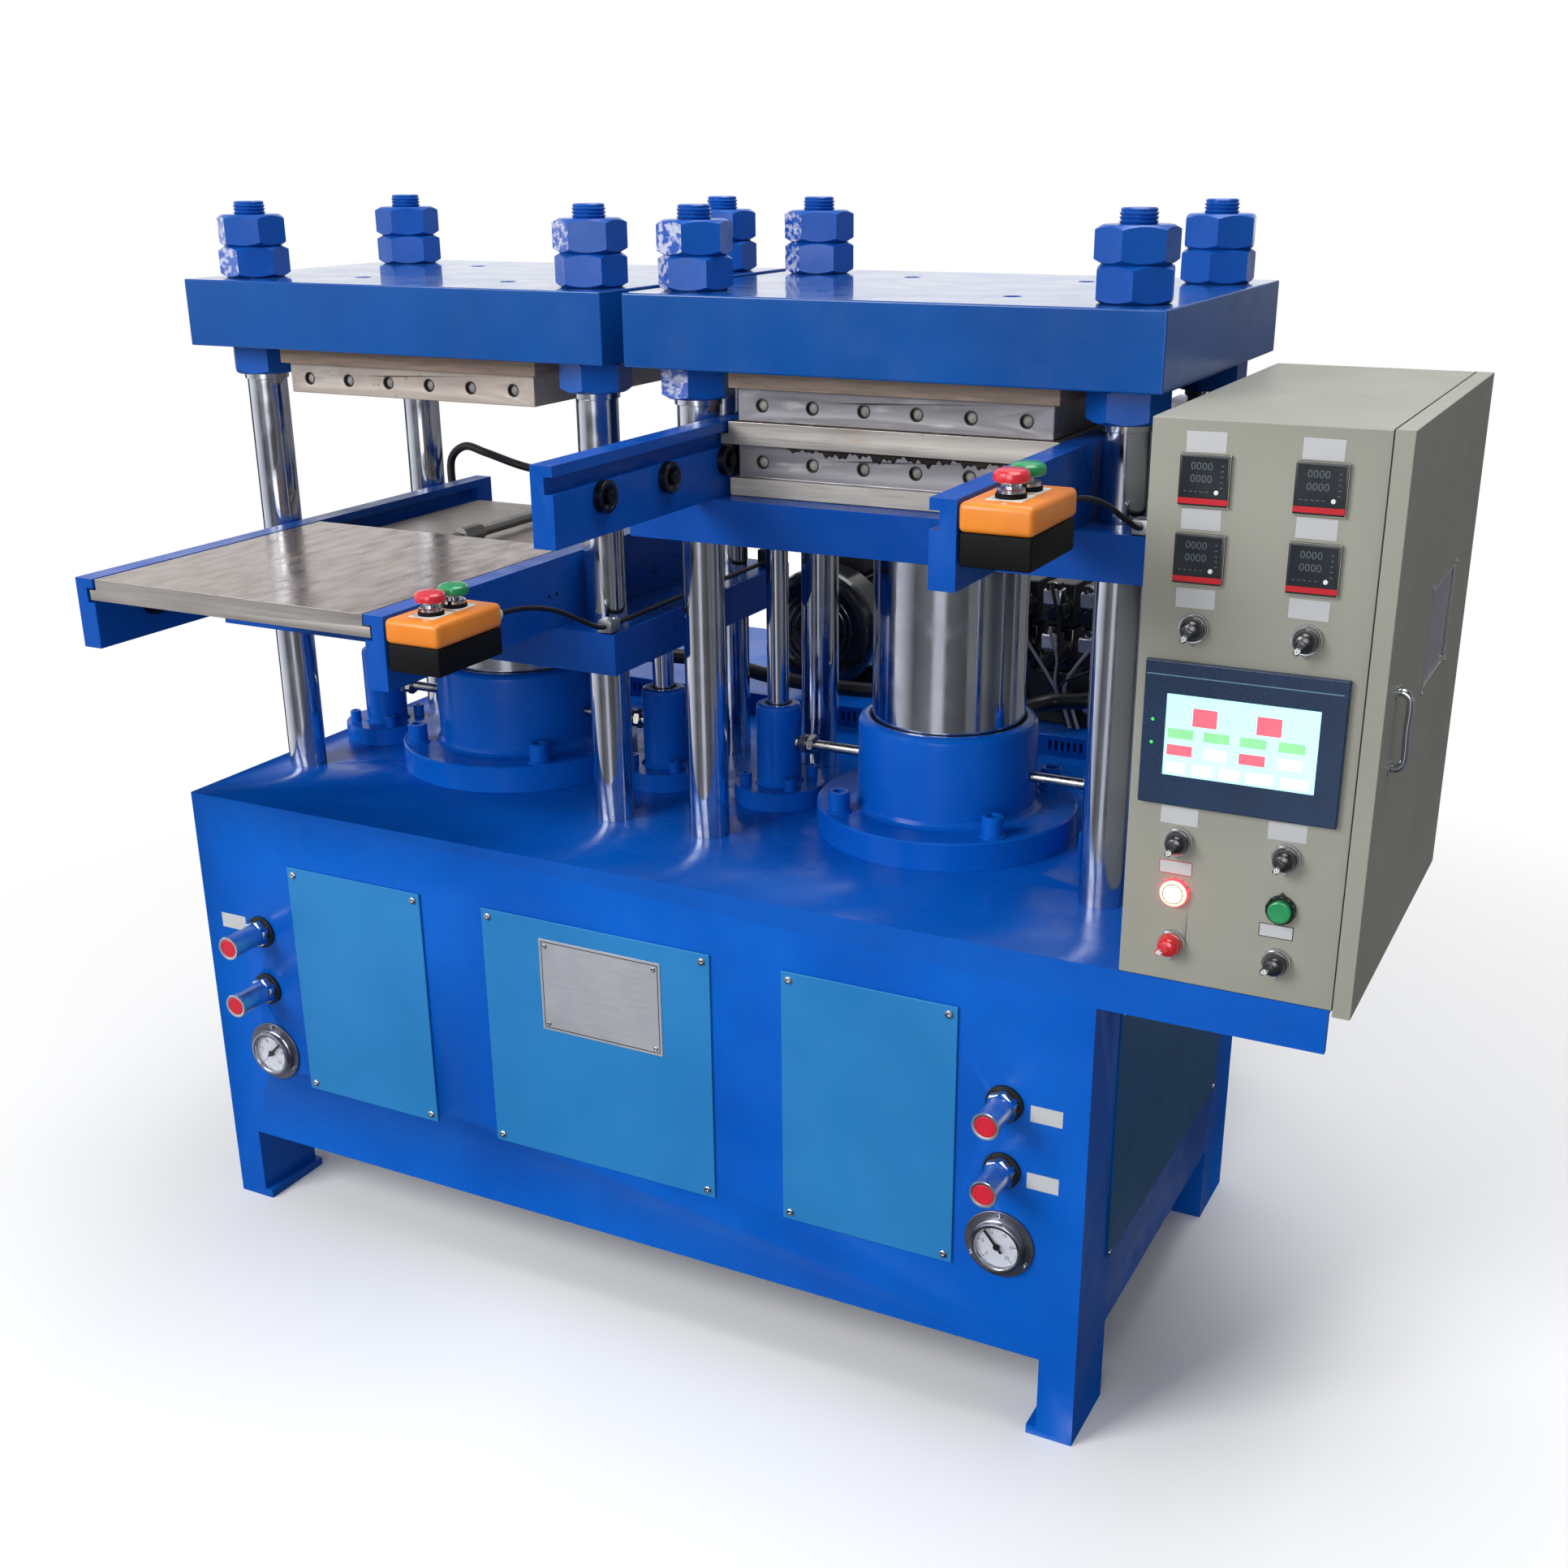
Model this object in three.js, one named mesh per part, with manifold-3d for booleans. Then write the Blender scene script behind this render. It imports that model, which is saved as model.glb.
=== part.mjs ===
// Twin-station rubber vulcanizing press: two four-rod hydraulic presses side by side on one welded base,
// with sliding mould plates, electric heating plates, a power pack at the back and a control cabinet.
// Millimetres, +Z up. The pieces are placed from the left end, the front face and the floor,
// and the whole press is then shifted so that its origin is the centre of its footprint.
import * as THREE from "three";
import { mergeVertices } from "three/addons/utils/BufferGeometryUtils.js";
import Module from "manifold-3d";

const wasm = await Module();
wasm.setup();

// Driving dimensions
const baseLength = 1260;
const baseDepth = 650;
const bedHeight = 610;
const bedThickness = 30;
const wallThickness = 8;
const legWidth = 44;
const legDepth = 106;
const legClearHeight = 106;
const stationGap = 28;
const stationSetback = 100;
const rodDiameter = 50;
const rodEndDiameter = 42;
const crownThickness = 80;
const tableThickness = 50;
const pressStroke = 171;
const heatingPlateThickness = 36;
const boardThickness = 20;
const boardMargin = 8;
const mouldThickness = 25;
const mouldTravel = 342;
const railWidth = 26;
const cylinderRise = 146;
const boosterRodDiameter = 28;
const cabinetWidth = 217;
const cabinetDepth = 480;
const cabinetHeight = 562;
const cabinetGap = 21;
const doorThickness = 18;

// Clearance between pieces that seat on or run in one another, and how far a cut runs past a face
const fit = 0.3;
const overrun = 5;

// Distances that set the pieces of a station out from its edges and from one another
const rodEdgeX = 55;
const rodEdgeY = 70;
const railToRod = 5;
const plateToRail = 12;
const plateEdge = 40;
const mouldLap = 7.5;
const railLip = 1.5;
const railTail = 9;
const boosterEdge = 72;
const flangeGap = 15;
const openTableClearance = 62.5;

// Sides given to round stretches, by how large they are
const largeSides = 24;
const roundSides = 16;
const rodSides = 14;
const mediumSides = 12;
const smallSides = 8;
const hoseSides = 6;
const hexSides = 6;

// Places that several pieces share
const stationWidth = (baseLength - stationGap) / 2;
const stationDepth = baseDepth - 2 * stationSetback;
const stationCentreY = stationSetback + stationDepth / 2;
const rodSpacingX = stationWidth - 2 * rodEdgeX;
const rodSpacingY = stationDepth - 2 * rodEdgeY;
const railSpacing = rodSpacingX - rodDiameter - 2 * (railWidth + railToRod);
const heatingPlateWidth = railSpacing - 2 * plateToRail;
const heatingPlateDepth = stationDepth - 2 * plateEdge;
const mouldLength = heatingPlateDepth + 2 * mouldLap;
const railOverhang = mouldTravel + mouldLength / 2 - stationDepth / 2 + railLip;
const railLength = railOverhang + stationDepth + railTail;
const boosterSpacing = stationWidth - 2 * boosterEdge;
const bedUnderside = bedHeight - bedThickness;
const heatStack = boardThickness + heatingPlateThickness;
const openTableUnderside = bedHeight + cylinderRise + openTableClearance;
const openTableTop = openTableUnderside + tableThickness;
const crownUnderside = openTableTop + pressStroke + 2 * heatStack + mouldThickness + 5 * fit;
const crownTop = crownUnderside + crownThickness;
const upperPlateUnderside = crownUnderside - fit - heatStack;
const closedTableTop = openTableTop + pressStroke;
const mouldSeat = heatStack + 3 * fit;
const stations = [
  { side: "left", centre: stationWidth / 2, tableTop: openTableTop, mouldOut: mouldTravel },
  { side: "right", centre: baseLength - stationWidth / 2, tableTop: closedTableTop, mouldOut: 0 },
];
const [leftStation, rightStation] = stations;

// The four corners of a square or oblong about its centre, as shares of its sides
const corners = [
  { name: "front_left", xShare: -0.5, yShare: -0.5 },
  { name: "front_right", xShare: 0.5, yShare: -0.5 },
  { name: "back_left", xShare: -0.5, yShare: 0.5 },
  { name: "back_right", xShare: 0.5, yShare: 0.5 },
];

// Colours and finishes
const finishes = {
  blue: { color: 0x1a56b4, roughness: 0.42, metalness: 0.1 },
  lightBlue: { color: 0x3a86c4, roughness: 0.45, metalness: 0.1 },
  chrome: { color: 0xc9ccd0, roughness: 0.12, metalness: 1 },
  plateSteel: { color: 0x9c9894, roughness: 0.4, metalness: 0.85 },
  mouldSteel: { color: 0xa89b91, roughness: 0.32, metalness: 0.85 },
  beige: { color: 0x9a9a8c, roughness: 0.55, metalness: 0.05 },
  black: { color: 0x17181b, roughness: 0.5, metalness: 0.1 },
  screen: { color: 0x22406b, roughness: 0.35, metalness: 0.1 },
  orange: { color: 0xe0902a, roughness: 0.5, metalness: 0 },
  red: { color: 0xc4202c, roughness: 0.35, metalness: 0 },
  green: { color: 0x17935a, roughness: 0.35, metalness: 0 },
  bezel: { color: 0x2b2c2f, roughness: 0.35, metalness: 0.6 },
};

// Solids from three.js geometry, and the joins and cuts between them
function toSolid(geometry) {
  const bare = geometry.clone();
  bare.deleteAttribute("normal");
  bare.deleteAttribute("uv");
  const merged = mergeVertices(bare);
  const vertProperties = new Float32Array(merged.attributes.position.array);
  const triVerts = new Uint32Array(merged.index.array);
  return new wasm.Manifold(new wasm.Mesh({ numProp: 3, vertProperties, triVerts }));
}

function join(first, ...others) {
  return others.reduce((sum, solid) => sum.add(solid), first);
}

function cut(first, ...others) {
  return others.reduce((rest, solid) => rest.subtract(solid), first);
}

function block(x0, x1, y0, y1, z0, z1) {
  const geometry = new THREE.BoxGeometry(x1 - x0, y1 - y0, z1 - z0);
  return toSolid(geometry.translate((x0 + x1) / 2, (y0 + y1) / 2, (z0 + z1) / 2));
}

// Round bars that stand along Z, and that lie along Y and along X
function column(radius, x, y, z0, z1, sides) {
  const geometry = new THREE.CylinderGeometry(radius, radius, z1 - z0, sides).rotateX(Math.PI / 2);
  return toSolid(geometry.translate(x, y, (z0 + z1) / 2));
}

function barY(radius, x, z, y0, y1, sides) {
  const geometry = new THREE.CylinderGeometry(radius, radius, y1 - y0, sides);
  return toSolid(geometry.translate(x, (y0 + y1) / 2, z));
}

function barX(radius, y, z, x0, x1, sides) {
  const geometry = new THREE.CylinderGeometry(radius, radius, x1 - x0, sides).rotateZ(Math.PI / 2);
  return toSolid(geometry.translate((x0 + x1) / 2, y, z));
}

// Radius to the corners of a faceted bore whose flats just clear a round bar of this radius
function boreRadius(radius, sides) {
  return (radius + fit) / Math.cos(Math.PI / sides);
}

// A turned piece about a standing axis: its outline is a list of [radius, height]
function turned(outline, x, y, sides) {
  const points = outline.map(([radius, height]) => new THREE.Vector2(radius, height));
  return toSolid(new THREE.LatheGeometry(points, sides).rotateX(Math.PI / 2).translate(x, y, 0));
}

// A turned piece about an axis along Y: its outline is a list of [radius, y] from its front to its back
function turnedY(outline, sides) {
  const points = outline.map(([radius, y]) => new THREE.Vector2(radius, y));
  return toSolid(new THREE.LatheGeometry(points, sides));
}

// A bar of one section along Y: its outline is a list of [x, z]
function sectionBar(outline, y0, y1) {
  const shape = new THREE.Shape(outline.map(([x, z]) => new THREE.Vector2(x, z)));
  const geometry = new THREE.ExtrudeGeometry(shape, { depth: y1 - y0, bevelEnabled: false });
  return toSolid(geometry.rotateX(Math.PI / 2).translate(0, y1, 0));
}

// A round hose or lead along a smooth route of [x, y, z] points
function hose(route, radius, steps) {
  const ring = Array.from({ length: hoseSides }, (_, side) => {
    const angle = (side / hoseSides) * 2 * Math.PI;
    return new THREE.Vector2(radius * Math.cos(angle), radius * Math.sin(angle));
  });
  const path = new THREE.CatmullRomCurve3(route.map((point) => new THREE.Vector3(...point)));
  return toSolid(new THREE.ExtrudeGeometry(new THREE.Shape(ring), { steps, extrudePath: path }));
}

const nut = { acrossCorners: 86, height: 37 };

const press = new THREE.Group();

// Adds one named piece, placed by a position and by turns about X, Y and Z in radians
function addPiece(name, solid, finish, place = [0, 0, 0], turn = [0, 0, 0]) {
  const mesh = solid.getMesh();
  const geometry = new THREE.BufferGeometry();
  geometry.setAttribute("position", new THREE.BufferAttribute(new Float32Array(mesh.vertProperties), 3));
  geometry.setIndex(new THREE.BufferAttribute(new Uint32Array(mesh.triVerts), 1));
  geometry.computeVertexNormals();
  const material = new THREE.MeshStandardMaterial({ ...finishes[finish], flatShading: true });
  const piece = new THREE.Mesh(geometry, material);
  piece.name = name;
  piece.position.set(...place);
  piece.rotation.set(...turn);
  press.add(piece);
}

// Cabinet place: its shell stands on the shelf beside the bed, and the door closes its right side
const cabinetLeft = baseLength + cabinetGap;
const cabinetRight = cabinetLeft + cabinetWidth;
const cabinetBottom = bedHeight + fit;
const cabinetTop = cabinetBottom + cabinetHeight;
const cabinetCentreX = (cabinetLeft + cabinetRight) / 2;

// Front panel fittings of the base: two regulator knobs over one gauge at each end
const panelFitting = { inset: 97, upperDrop: 154, lowerDrop: 238, gaugeDrop: 333 };
const regulatorHeights = {
  upper: bedUnderside - panelFitting.upperDrop,
  lower: bedUnderside - panelFitting.lowerDrop,
};
const gaugeHeight = bedUnderside - panelFitting.gaugeDrop;
const panelColumns = [
  { side: "left", x: panelFitting.inset },
  { side: "right", x: baseLength - panelFitting.inset },
];
const regulator = { ring: 40, ringThickness: 4, nut: 36, nutLength: 12, knob: 31, knobLength: 36, rim: 2 };
regulator.stem = 12;
regulator.tail = 18;
regulator.seat = regulator.ringThickness + regulator.nutLength;
const gauge = { flange: 84, flangeThickness: 3, bezel: 68, bezelDepth: 13, dial: 60, recess: 8, body: 54 };
gauge.bodyLength = 42;
const needle = { hub: 8, hubDepth: 3, width: 3, reach: 24, tail: 9, depth: 1 };

// Front covers over the service openings. They share the room between the two gauges
const cover = { thickness: 3, rise: 99, drop: 49, lap: 16, leftGap: 18, rightGap: 15 };
cover.bottom = legClearHeight + cover.rise;
cover.top = bedUnderside - cover.drop;
cover.start = panelFitting.inset + gauge.flange / 2 + cover.leftGap;
cover.room = baseLength - panelFitting.inset - gauge.flange / 2 - cover.rightGap - cover.start;
const covers = [
  { name: "left_front_cover", startShare: 0, widthShare: 0.2276 },
  { name: "centre_front_cover", startShare: 0.3288, widthShare: 0.3425 },
  { name: "right_front_cover", startShare: 0.7703, widthShare: 0.2297 },
];

// Cylinders: the main one and its two boosters stand in holes in the bed on bolted flanges
const booster = { barrel: 58, flange: 118, flangeThickness: 24, rise: 130, floor: 14, engaged: 40 };
const mainCylinder = { wall: 17, flangeReach: 51.5, flangeThickness: 35, floor: 30, engaged: 100 };
mainCylinder.rise = cylinderRise;
mainCylinder.flange = boosterSpacing - booster.flange - 2 * flangeGap;
mainCylinder.barrel = mainCylinder.flange - 2 * mainCylinder.flangeReach;
mainCylinder.bottomGap = 10;
mainCylinder.boltInset = 20;
mainCylinder.boltCircle = mainCylinder.flange - 2 * mainCylinder.boltInset;
mainCylinder.bolt = 26;
mainCylinder.boltHeight = 26;
mainCylinder.portHeight = 85;
mainCylinder.port = 28;
mainCylinder.portLength = 14;
mainCylinder.portNut = 34;
mainCylinder.nutWidth = 10;
mainCylinder.nutPlaceShares = [0];
booster.bottomGap = 10;
booster.boltInset = 14;
booster.boltCircle = booster.flange - 2 * booster.boltInset;
booster.bolt = 15;
booster.boltHeight = 16;
booster.portHeight = 80;
booster.port = 18;
booster.portLength = (boosterSpacing - booster.barrel - mainCylinder.barrel) / 2 - fit;
booster.portNut = 26;
booster.nutWidth = 18;
booster.nutPlaceShares = [0.4];
const ramDiameter = mainCylinder.barrel - 2 * mainCylinder.wall;
const ramTop = closedTableTop - tableThickness - fit;
const ramBottom = bedHeight + mainCylinder.rise - mainCylinder.engaged;
const ramLength = ramTop - ramBottom;
const boosterRodBottom = bedHeight + booster.rise - booster.engaged;
const boosterRodLength = ramTop + fit - boosterRodBottom;

// Support for the cabinet: two beams that run on from the bed, with a thin shelf on them
const support = { beamHeight: 48, beamThickness: 8, shelfThickness: 6, endInset: 3 };

// Base frame: bed, walls with service openings, legs with foot plates and the cabinet support
const foot = { width: 56, thickness: 12 };
const opening = { rise: 97, drop: 65, backInset: 140 };
opening.bottom = legClearHeight + opening.rise;
opening.top = bedUnderside - opening.drop;

function coverEdges({ startShare, widthShare }) {
  const left = cover.start + startShare * cover.room;
  return [left, left + widthShare * cover.room];
}

function coverOpening(plate) {
  const [left, right] = coverEdges(plate);
  const low = cover.bottom + cover.lap;
  const high = cover.top - cover.lap;
  return block(left + cover.lap, right - cover.lap, -overrun, wallThickness + overrun, low, high);
}

function baseLeg(corner) {
  const x0 = corner.xShare < 0 ? 0 : baseLength - legWidth;
  const y0 = corner.yShare < 0 ? 0 : baseDepth - legDepth;
  const footX0 = corner.xShare < 0 ? 0 : baseLength - foot.width;
  const leg = block(x0, x0 + legWidth, y0, y0 + legDepth, 0, bedHeight);
  return leg.add(block(footX0, footX0 + foot.width, y0, y0 + legDepth, 0, foot.thickness));
}

function baseWalls() {
  const bed = block(0, baseLength, 0, baseDepth, bedUnderside, bedHeight);
  const outer = block(0, baseLength, 0, baseDepth, legClearHeight, bedHeight);
  const room = block(
    wallThickness,
    baseLength - wallThickness,
    wallThickness,
    baseDepth - wallThickness,
    -overrun,
    bedUnderside,
  );
  const windows = block(
    -overrun,
    baseLength + overrun,
    legDepth,
    baseDepth - legDepth,
    opening.bottom,
    opening.top,
  );
  const back = block(
    opening.backInset,
    baseLength - opening.backInset,
    baseDepth - wallThickness - overrun,
    baseDepth + overrun,
    opening.bottom,
    opening.top,
  );
  const walls = cut(outer, room, windows, back, ...covers.map(coverOpening));
  return join(walls, bed, ...corners.map(baseLeg));
}

function cabinetSupport() {
  const start = baseLength - wallThickness;
  const end = cabinetRight - support.endInset;
  const beamBottom = bedHeight - support.beamHeight;
  const rearBeam = cabinetDepth - support.beamThickness;
  return join(
    block(start, end, 0, support.beamThickness, beamBottom, bedHeight),
    block(start, end, rearBeam, cabinetDepth, beamBottom, bedHeight),
    block(start, end, 0, cabinetDepth, bedHeight - support.shelfThickness, bedHeight),
  );
}

function bedHoles({ centre }) {
  const holes = corners.map((corner) => {
    const x = centre + corner.xShare * rodSpacingX;
    const y = stationCentreY + corner.yShare * rodSpacingY;
    return column(rodEndDiameter / 2 + fit, x, y, bedUnderside - overrun, bedHeight + overrun, mediumSides);
  });
  for (const way of [-1, 1]) {
    const x = centre + (way * boosterSpacing) / 2;
    const hole = booster.barrel / 2 + fit;
    holes.push(column(hole, x, stationCentreY, bedUnderside - overrun, bedHeight + overrun, roundSides));
  }
  const bore = mainCylinder.barrel / 2 + fit;
  holes.push(column(bore, centre, stationCentreY, bedUnderside - overrun, bedHeight + overrun, largeSides));
  return holes;
}

function panelSeats() {
  const seats = [];
  const holes = [];
  for (const { x } of panelColumns) {
    for (const z of Object.values(regulatorHeights)) {
      seats.push(barY(regulator.ring / 2, x, z, -regulator.ringThickness, wallThickness, mediumSides));
      seats.push(barY(regulator.nut / 2, x, z, -regulator.seat, wallThickness, hexSides));
      const bore = boreRadius(regulator.stem / 2, smallSides);
      holes.push(barY(bore, x, z, -regulator.seat - overrun, wallThickness + overrun, smallSides));
    }
    const bore = gauge.body / 2 + fit;
    holes.push(barY(bore, x, gaugeHeight, -overrun, wallThickness + overrun, roundSides));
  }
  return { seats, holes };
}

const panel = panelSeats();
const baseSolid = cut(
  join(baseWalls(), cabinetSupport(), ...panel.seats),
  ...stations.flatMap(bedHoles),
  ...panel.holes,
);
addPiece("base_frame", baseSolid, "blue");

for (const plate of covers) {
  const front = -fit - cover.thickness;
  addPiece(plate.name, block(...coverEdges(plate), front, -fit, cover.bottom, cover.top), "lightBlue");
}

// Tie rods: each stands with a shoulder on the bed, its thinner threaded end held by a nut below the bed,
// and passes through the crown between one nut under it and two on top
const stub = { top: 16, bottom: 8 };

function tieRod() {
  const lowNutBottom = bedUnderside - fit - nut.height;
  const highNutBottom = crownTop + fit;
  const top = highNutBottom + 2 * nut.height + stub.top;
  const rod = column(rodDiameter / 2, 0, 0, bedHeight + fit, top, rodSides);
  const end = column(rodEndDiameter / 2, 0, 0, lowNutBottom - stub.bottom, bedHeight + 2 * fit, mediumSides);
  const middleNutBottom = crownUnderside - fit - nut.height;
  const nutHeights = [lowNutBottom, middleNutBottom, highNutBottom, highNutBottom + nut.height];
  const nuts = nutHeights.map((z) => column(nut.acrossCorners / 2, 0, 0, z, z + nut.height, hexSides));
  return join(rod, end, ...nuts);
}

const tieRodSolid = tieRod();
for (const { side, centre } of stations) {
  for (const corner of corners) {
    const x = centre + corner.xShare * rodSpacingX;
    const y = stationCentreY + corner.yShare * rodSpacingY;
    addPiece(`${side}_station_${corner.name}_tie_rod`, tieRodSolid, "chrome", [x, y, 0]);
  }
}

// Crown plates, with countersunk holes for the screws that hold the upper heating plate
const crownScrew = { edgeX: 198, edgeY: 105, head: 18, depth: 10 };
crownScrew.spacingX = stationWidth - 2 * crownScrew.edgeX;
crownScrew.spacingY = stationDepth - 2 * crownScrew.edgeY;

function plateHoles(radius, z0, z1) {
  return corners.map((corner) => {
    const x = corner.xShare * rodSpacingX;
    const y = corner.yShare * rodSpacingY;
    return column(radius, x, y, z0 - overrun, z1 + overrun, rodSides);
  });
}

function crownPlate() {
  const halfX = stationWidth / 2;
  const halfY = stationDepth / 2;
  const plate = block(-halfX, halfX, -halfY, halfY, crownUnderside, crownTop);
  const sinks = corners.map((corner) => {
    const x = corner.xShare * crownScrew.spacingX;
    const y = corner.yShare * crownScrew.spacingY;
    return column(crownScrew.head / 2, x, y, crownTop - crownScrew.depth, crownTop + overrun, smallSides);
  });
  return cut(plate, ...plateHoles(rodDiameter / 2 + fit, crownUnderside, crownTop), ...sinks);
}

// Heating plate with its insulation board: six heater bores run in from the front
const heater = { count: 6, edge: 30, bore: 15, depth: 60 };
heater.pitch = (heatingPlateWidth - 2 * heater.edge) / (heater.count - 1);

function heatingPlate(boardIsLow) {
  const halfX = heatingPlateWidth / 2;
  const halfY = heatingPlateDepth / 2;
  const boardX = halfX + boardMargin;
  const boardY = halfY + boardMargin;
  const plateBottom = boardIsLow ? boardThickness : 0;
  const boardBottom = boardIsLow ? 0 : heatingPlateThickness;
  const plateTop = plateBottom + heatingPlateThickness;
  const plate = block(-halfX, halfX, -halfY, halfY, plateBottom, plateTop);
  const board = block(-boardX, boardX, -boardY, boardY, boardBottom, boardBottom + boardThickness);
  const middle = plateBottom + heatingPlateThickness / 2;
  const bores = Array.from({ length: heater.count }, (_, index) => {
    const x = (index - (heater.count - 1) / 2) * heater.pitch;
    return barY(heater.bore / 2, x, middle, -halfY - overrun, -halfY + heater.depth, smallSides);
  });
  return cut(plate.add(board), ...bores);
}

// Moving table with the two booster rods under it and the slide cylinder behind it. The bracket is a
// channel, open on top, that the coupling of the mould plate enters
const slide = { barrel: 40, rod: 16, bracketWidth: 110, wall: 12, noseLength: 20, endWall: 20, head: 48 };
slide.headLength = 24;
slide.channelWidth = 46;
slide.channelDrop = 15;
slide.axisHeight = mouldSeat + mouldThickness / 2;
const coupling = { stud: 14, studLength: 45, collar: 23, collarLength: 40 };
coupling.reach = coupling.studLength + coupling.collarLength;
slide.channelEnd = mouldLength / 2 + coupling.reach + slide.noseLength / 2;
slide.barrelStart = slide.channelEnd + slide.wall;
slide.barrelEnd = slide.barrelStart + slide.noseLength + mouldTravel + slide.endWall;

// Hose from the front head of the slide cylinder to its connector block on the back face of the table
const slideHose = { radius: 6, block: 30, blockDepth: 26, blockFromSide: 34, drop: 10, steps: 14 };
slideHose.blockX = -stationWidth / 2 + slideHose.blockFromSide;
slideHose.route = [
  [-18, slide.barrelStart + 12, slide.axisHeight],
  [-60, slide.barrelStart - 4, 78],
  [-151, stationDepth / 2 + 37, 95],
  [slideHose.blockX + 49, stationDepth / 2 + 37, 112],
  [slideHose.blockX + 12, stationDepth / 2 + 37, 119],
  [slideHose.blockX - 14, stationDepth / 2 + 37, 100],
  [slideHose.blockX - 12, stationDepth / 2 + 31, 50],
  [slideHose.blockX, stationDepth / 2 + 18, 0],
  [slideHose.blockX, stationDepth / 2 + 16, -24],
];

function movingTable() {
  const halfX = stationWidth / 2;
  const halfY = stationDepth / 2;
  const plate = block(-halfX, halfX, -halfY, halfY, -tableThickness, 0);
  const rods = [-1, 1].map((way) => {
    const bottom = -tableThickness - boosterRodLength;
    return column(boosterRodDiameter / 2, (way * boosterSpacing) / 2, 0, bottom, -fit, roundSides);
  });
  const sideX = slide.bracketWidth / 2;
  const headZ = slide.axisHeight + slide.head / 2;
  const bracket = block(-sideX, sideX, halfY - fit, slide.barrelStart, -tableThickness, headZ);
  const channelX = slide.channelWidth / 2;
  const channelFloor = slide.axisHeight - slide.channelDrop - coupling.collar / 2;
  const channel = block(
    -channelX,
    channelX,
    halfY - overrun,
    slide.channelEnd,
    channelFloor,
    headZ + overrun,
  );
  const start = slide.barrelStart - fit;
  const barrel = barY(slide.barrel / 2, 0, slide.axisHeight, start, slide.barrelEnd, mediumSides);
  const heads = [start, slide.barrelEnd - slide.headLength].map((y) =>
    block(-slide.head / 2, slide.head / 2, y, y + slide.headLength, headZ - slide.head, headZ),
  );
  const boreEnd = slide.barrelEnd - slide.endWall / 2;
  const bore = barY(
    boreRadius(slide.rod / 2, smallSides),
    0,
    slide.axisHeight,
    slide.channelEnd - overrun,
    boreEnd,
    smallSides,
  );
  const blockTop = -slideHose.drop;
  const connector = block(
    slideHose.blockX - slideHose.block / 2,
    slideHose.blockX + slideHose.block / 2,
    halfY - fit,
    halfY + slideHose.blockDepth,
    blockTop - slideHose.block,
    blockTop,
  );
  const line = hose(slideHose.route, slideHose.radius, slideHose.steps);
  const body = cut(join(plate, bracket, ...rods), channel);
  return cut(
    join(body, barrel, connector, line, ...heads),
    bore,
    ...plateHoles(rodDiameter / 2 + fit, -tableThickness, 0),
  );
}

// Guide rail: a bar with a groove for the tongue of the mould plate and three rollers under the groove.
// Its inner face is at x = 0 and its body lies towards +X; the rail on the other side is its mirror image
const rail = { lip: 11, groove: 17, grooveDepth: 10, stop: 37, roller: 34, rollerWidth: 9, rollerCount: 3 };
rail.height = mouldSeat + mouldThickness;
rail.rollerPitch = 126;
rail.firstRoller = 86;
rail.rollerAxis = mouldSeat - fit - rail.roller / 2;

function guideRail(way) {
  const top = rail.height;
  const grooveTop = top - rail.lip;
  const grooveBottom = grooveTop - rail.groove;
  const full = [
    [0, 0],
    [railWidth, 0],
    [railWidth, top],
    [0, top],
  ];
  const grooved = [
    ...full,
    [0, grooveTop],
    [rail.grooveDepth, grooveTop],
    [rail.grooveDepth, grooveBottom],
    [0, grooveBottom],
  ];
  const facing = (outline) => outline.map(([x, z]) => [way * x, z]);
  const grooveEnd = railLength - rail.stop;
  const bar = sectionBar(facing(grooved), 0, grooveEnd + fit);
  const stop = sectionBar(facing(full), grooveEnd, railLength);
  const rollers = Array.from({ length: rail.rollerCount }, (_, index) => {
    const y = rail.firstRoller + index * rail.rollerPitch;
    const ends = [-way * rail.rollerWidth, way * fit].sort((a, b) => a - b);
    return barX(rail.roller / 2, y, rail.rollerAxis, ...ends, mediumSides);
  });
  return join(bar, stop, ...rollers);
}

// Mould plate: its lower edges carry tongues that run in the grooves, and a stud and a coupling join it
// to the rod of the slide cylinder
const mould = { tongueHeight: 12, sideGap: 3 };

function mouldPlate() {
  const halfTop = railSpacing / 2 - mould.sideGap;
  const halfTongue = halfTop + rail.grooveDepth;
  const half = mouldLength / 2;
  const middle = mouldThickness / 2;
  const studEnd = half + coupling.studLength;
  const rodStart = half + coupling.reach;
  const rodEnd = slide.barrelStart + slide.noseLength + mouldTravel;
  return join(
    block(-halfTop, halfTop, -half, half, 0, mouldThickness),
    block(-halfTongue, halfTongue, -half, half, 0, mould.tongueHeight),
    barY(coupling.stud / 2, 0, middle, half - fit, studEnd + fit, smallSides),
    barY(coupling.collar / 2, 0, middle, studEnd, rodStart, mediumSides),
    barY(slide.rod / 2, 0, middle, rodStart - fit, rodEnd, smallSides),
  );
}

// Pipe fitting that stands out of a cylinder barrel towards +X, with its union nuts
function portFitting(values) {
  const z = bedHeight + values.portHeight;
  const root = values.barrel / 2 - values.port / 4;
  const face = values.barrel / 2;
  const pipe = barX(values.port / 2, 0, z, root, face + values.portLength, smallSides);
  const nuts = values.nutPlaceShares.map((share) => {
    const start = face + share * values.portLength;
    return barX(values.portNut / 2, 0, z, start - fit, start + values.nutWidth, hexSides);
  });
  return join(pipe, ...nuts);
}

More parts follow.
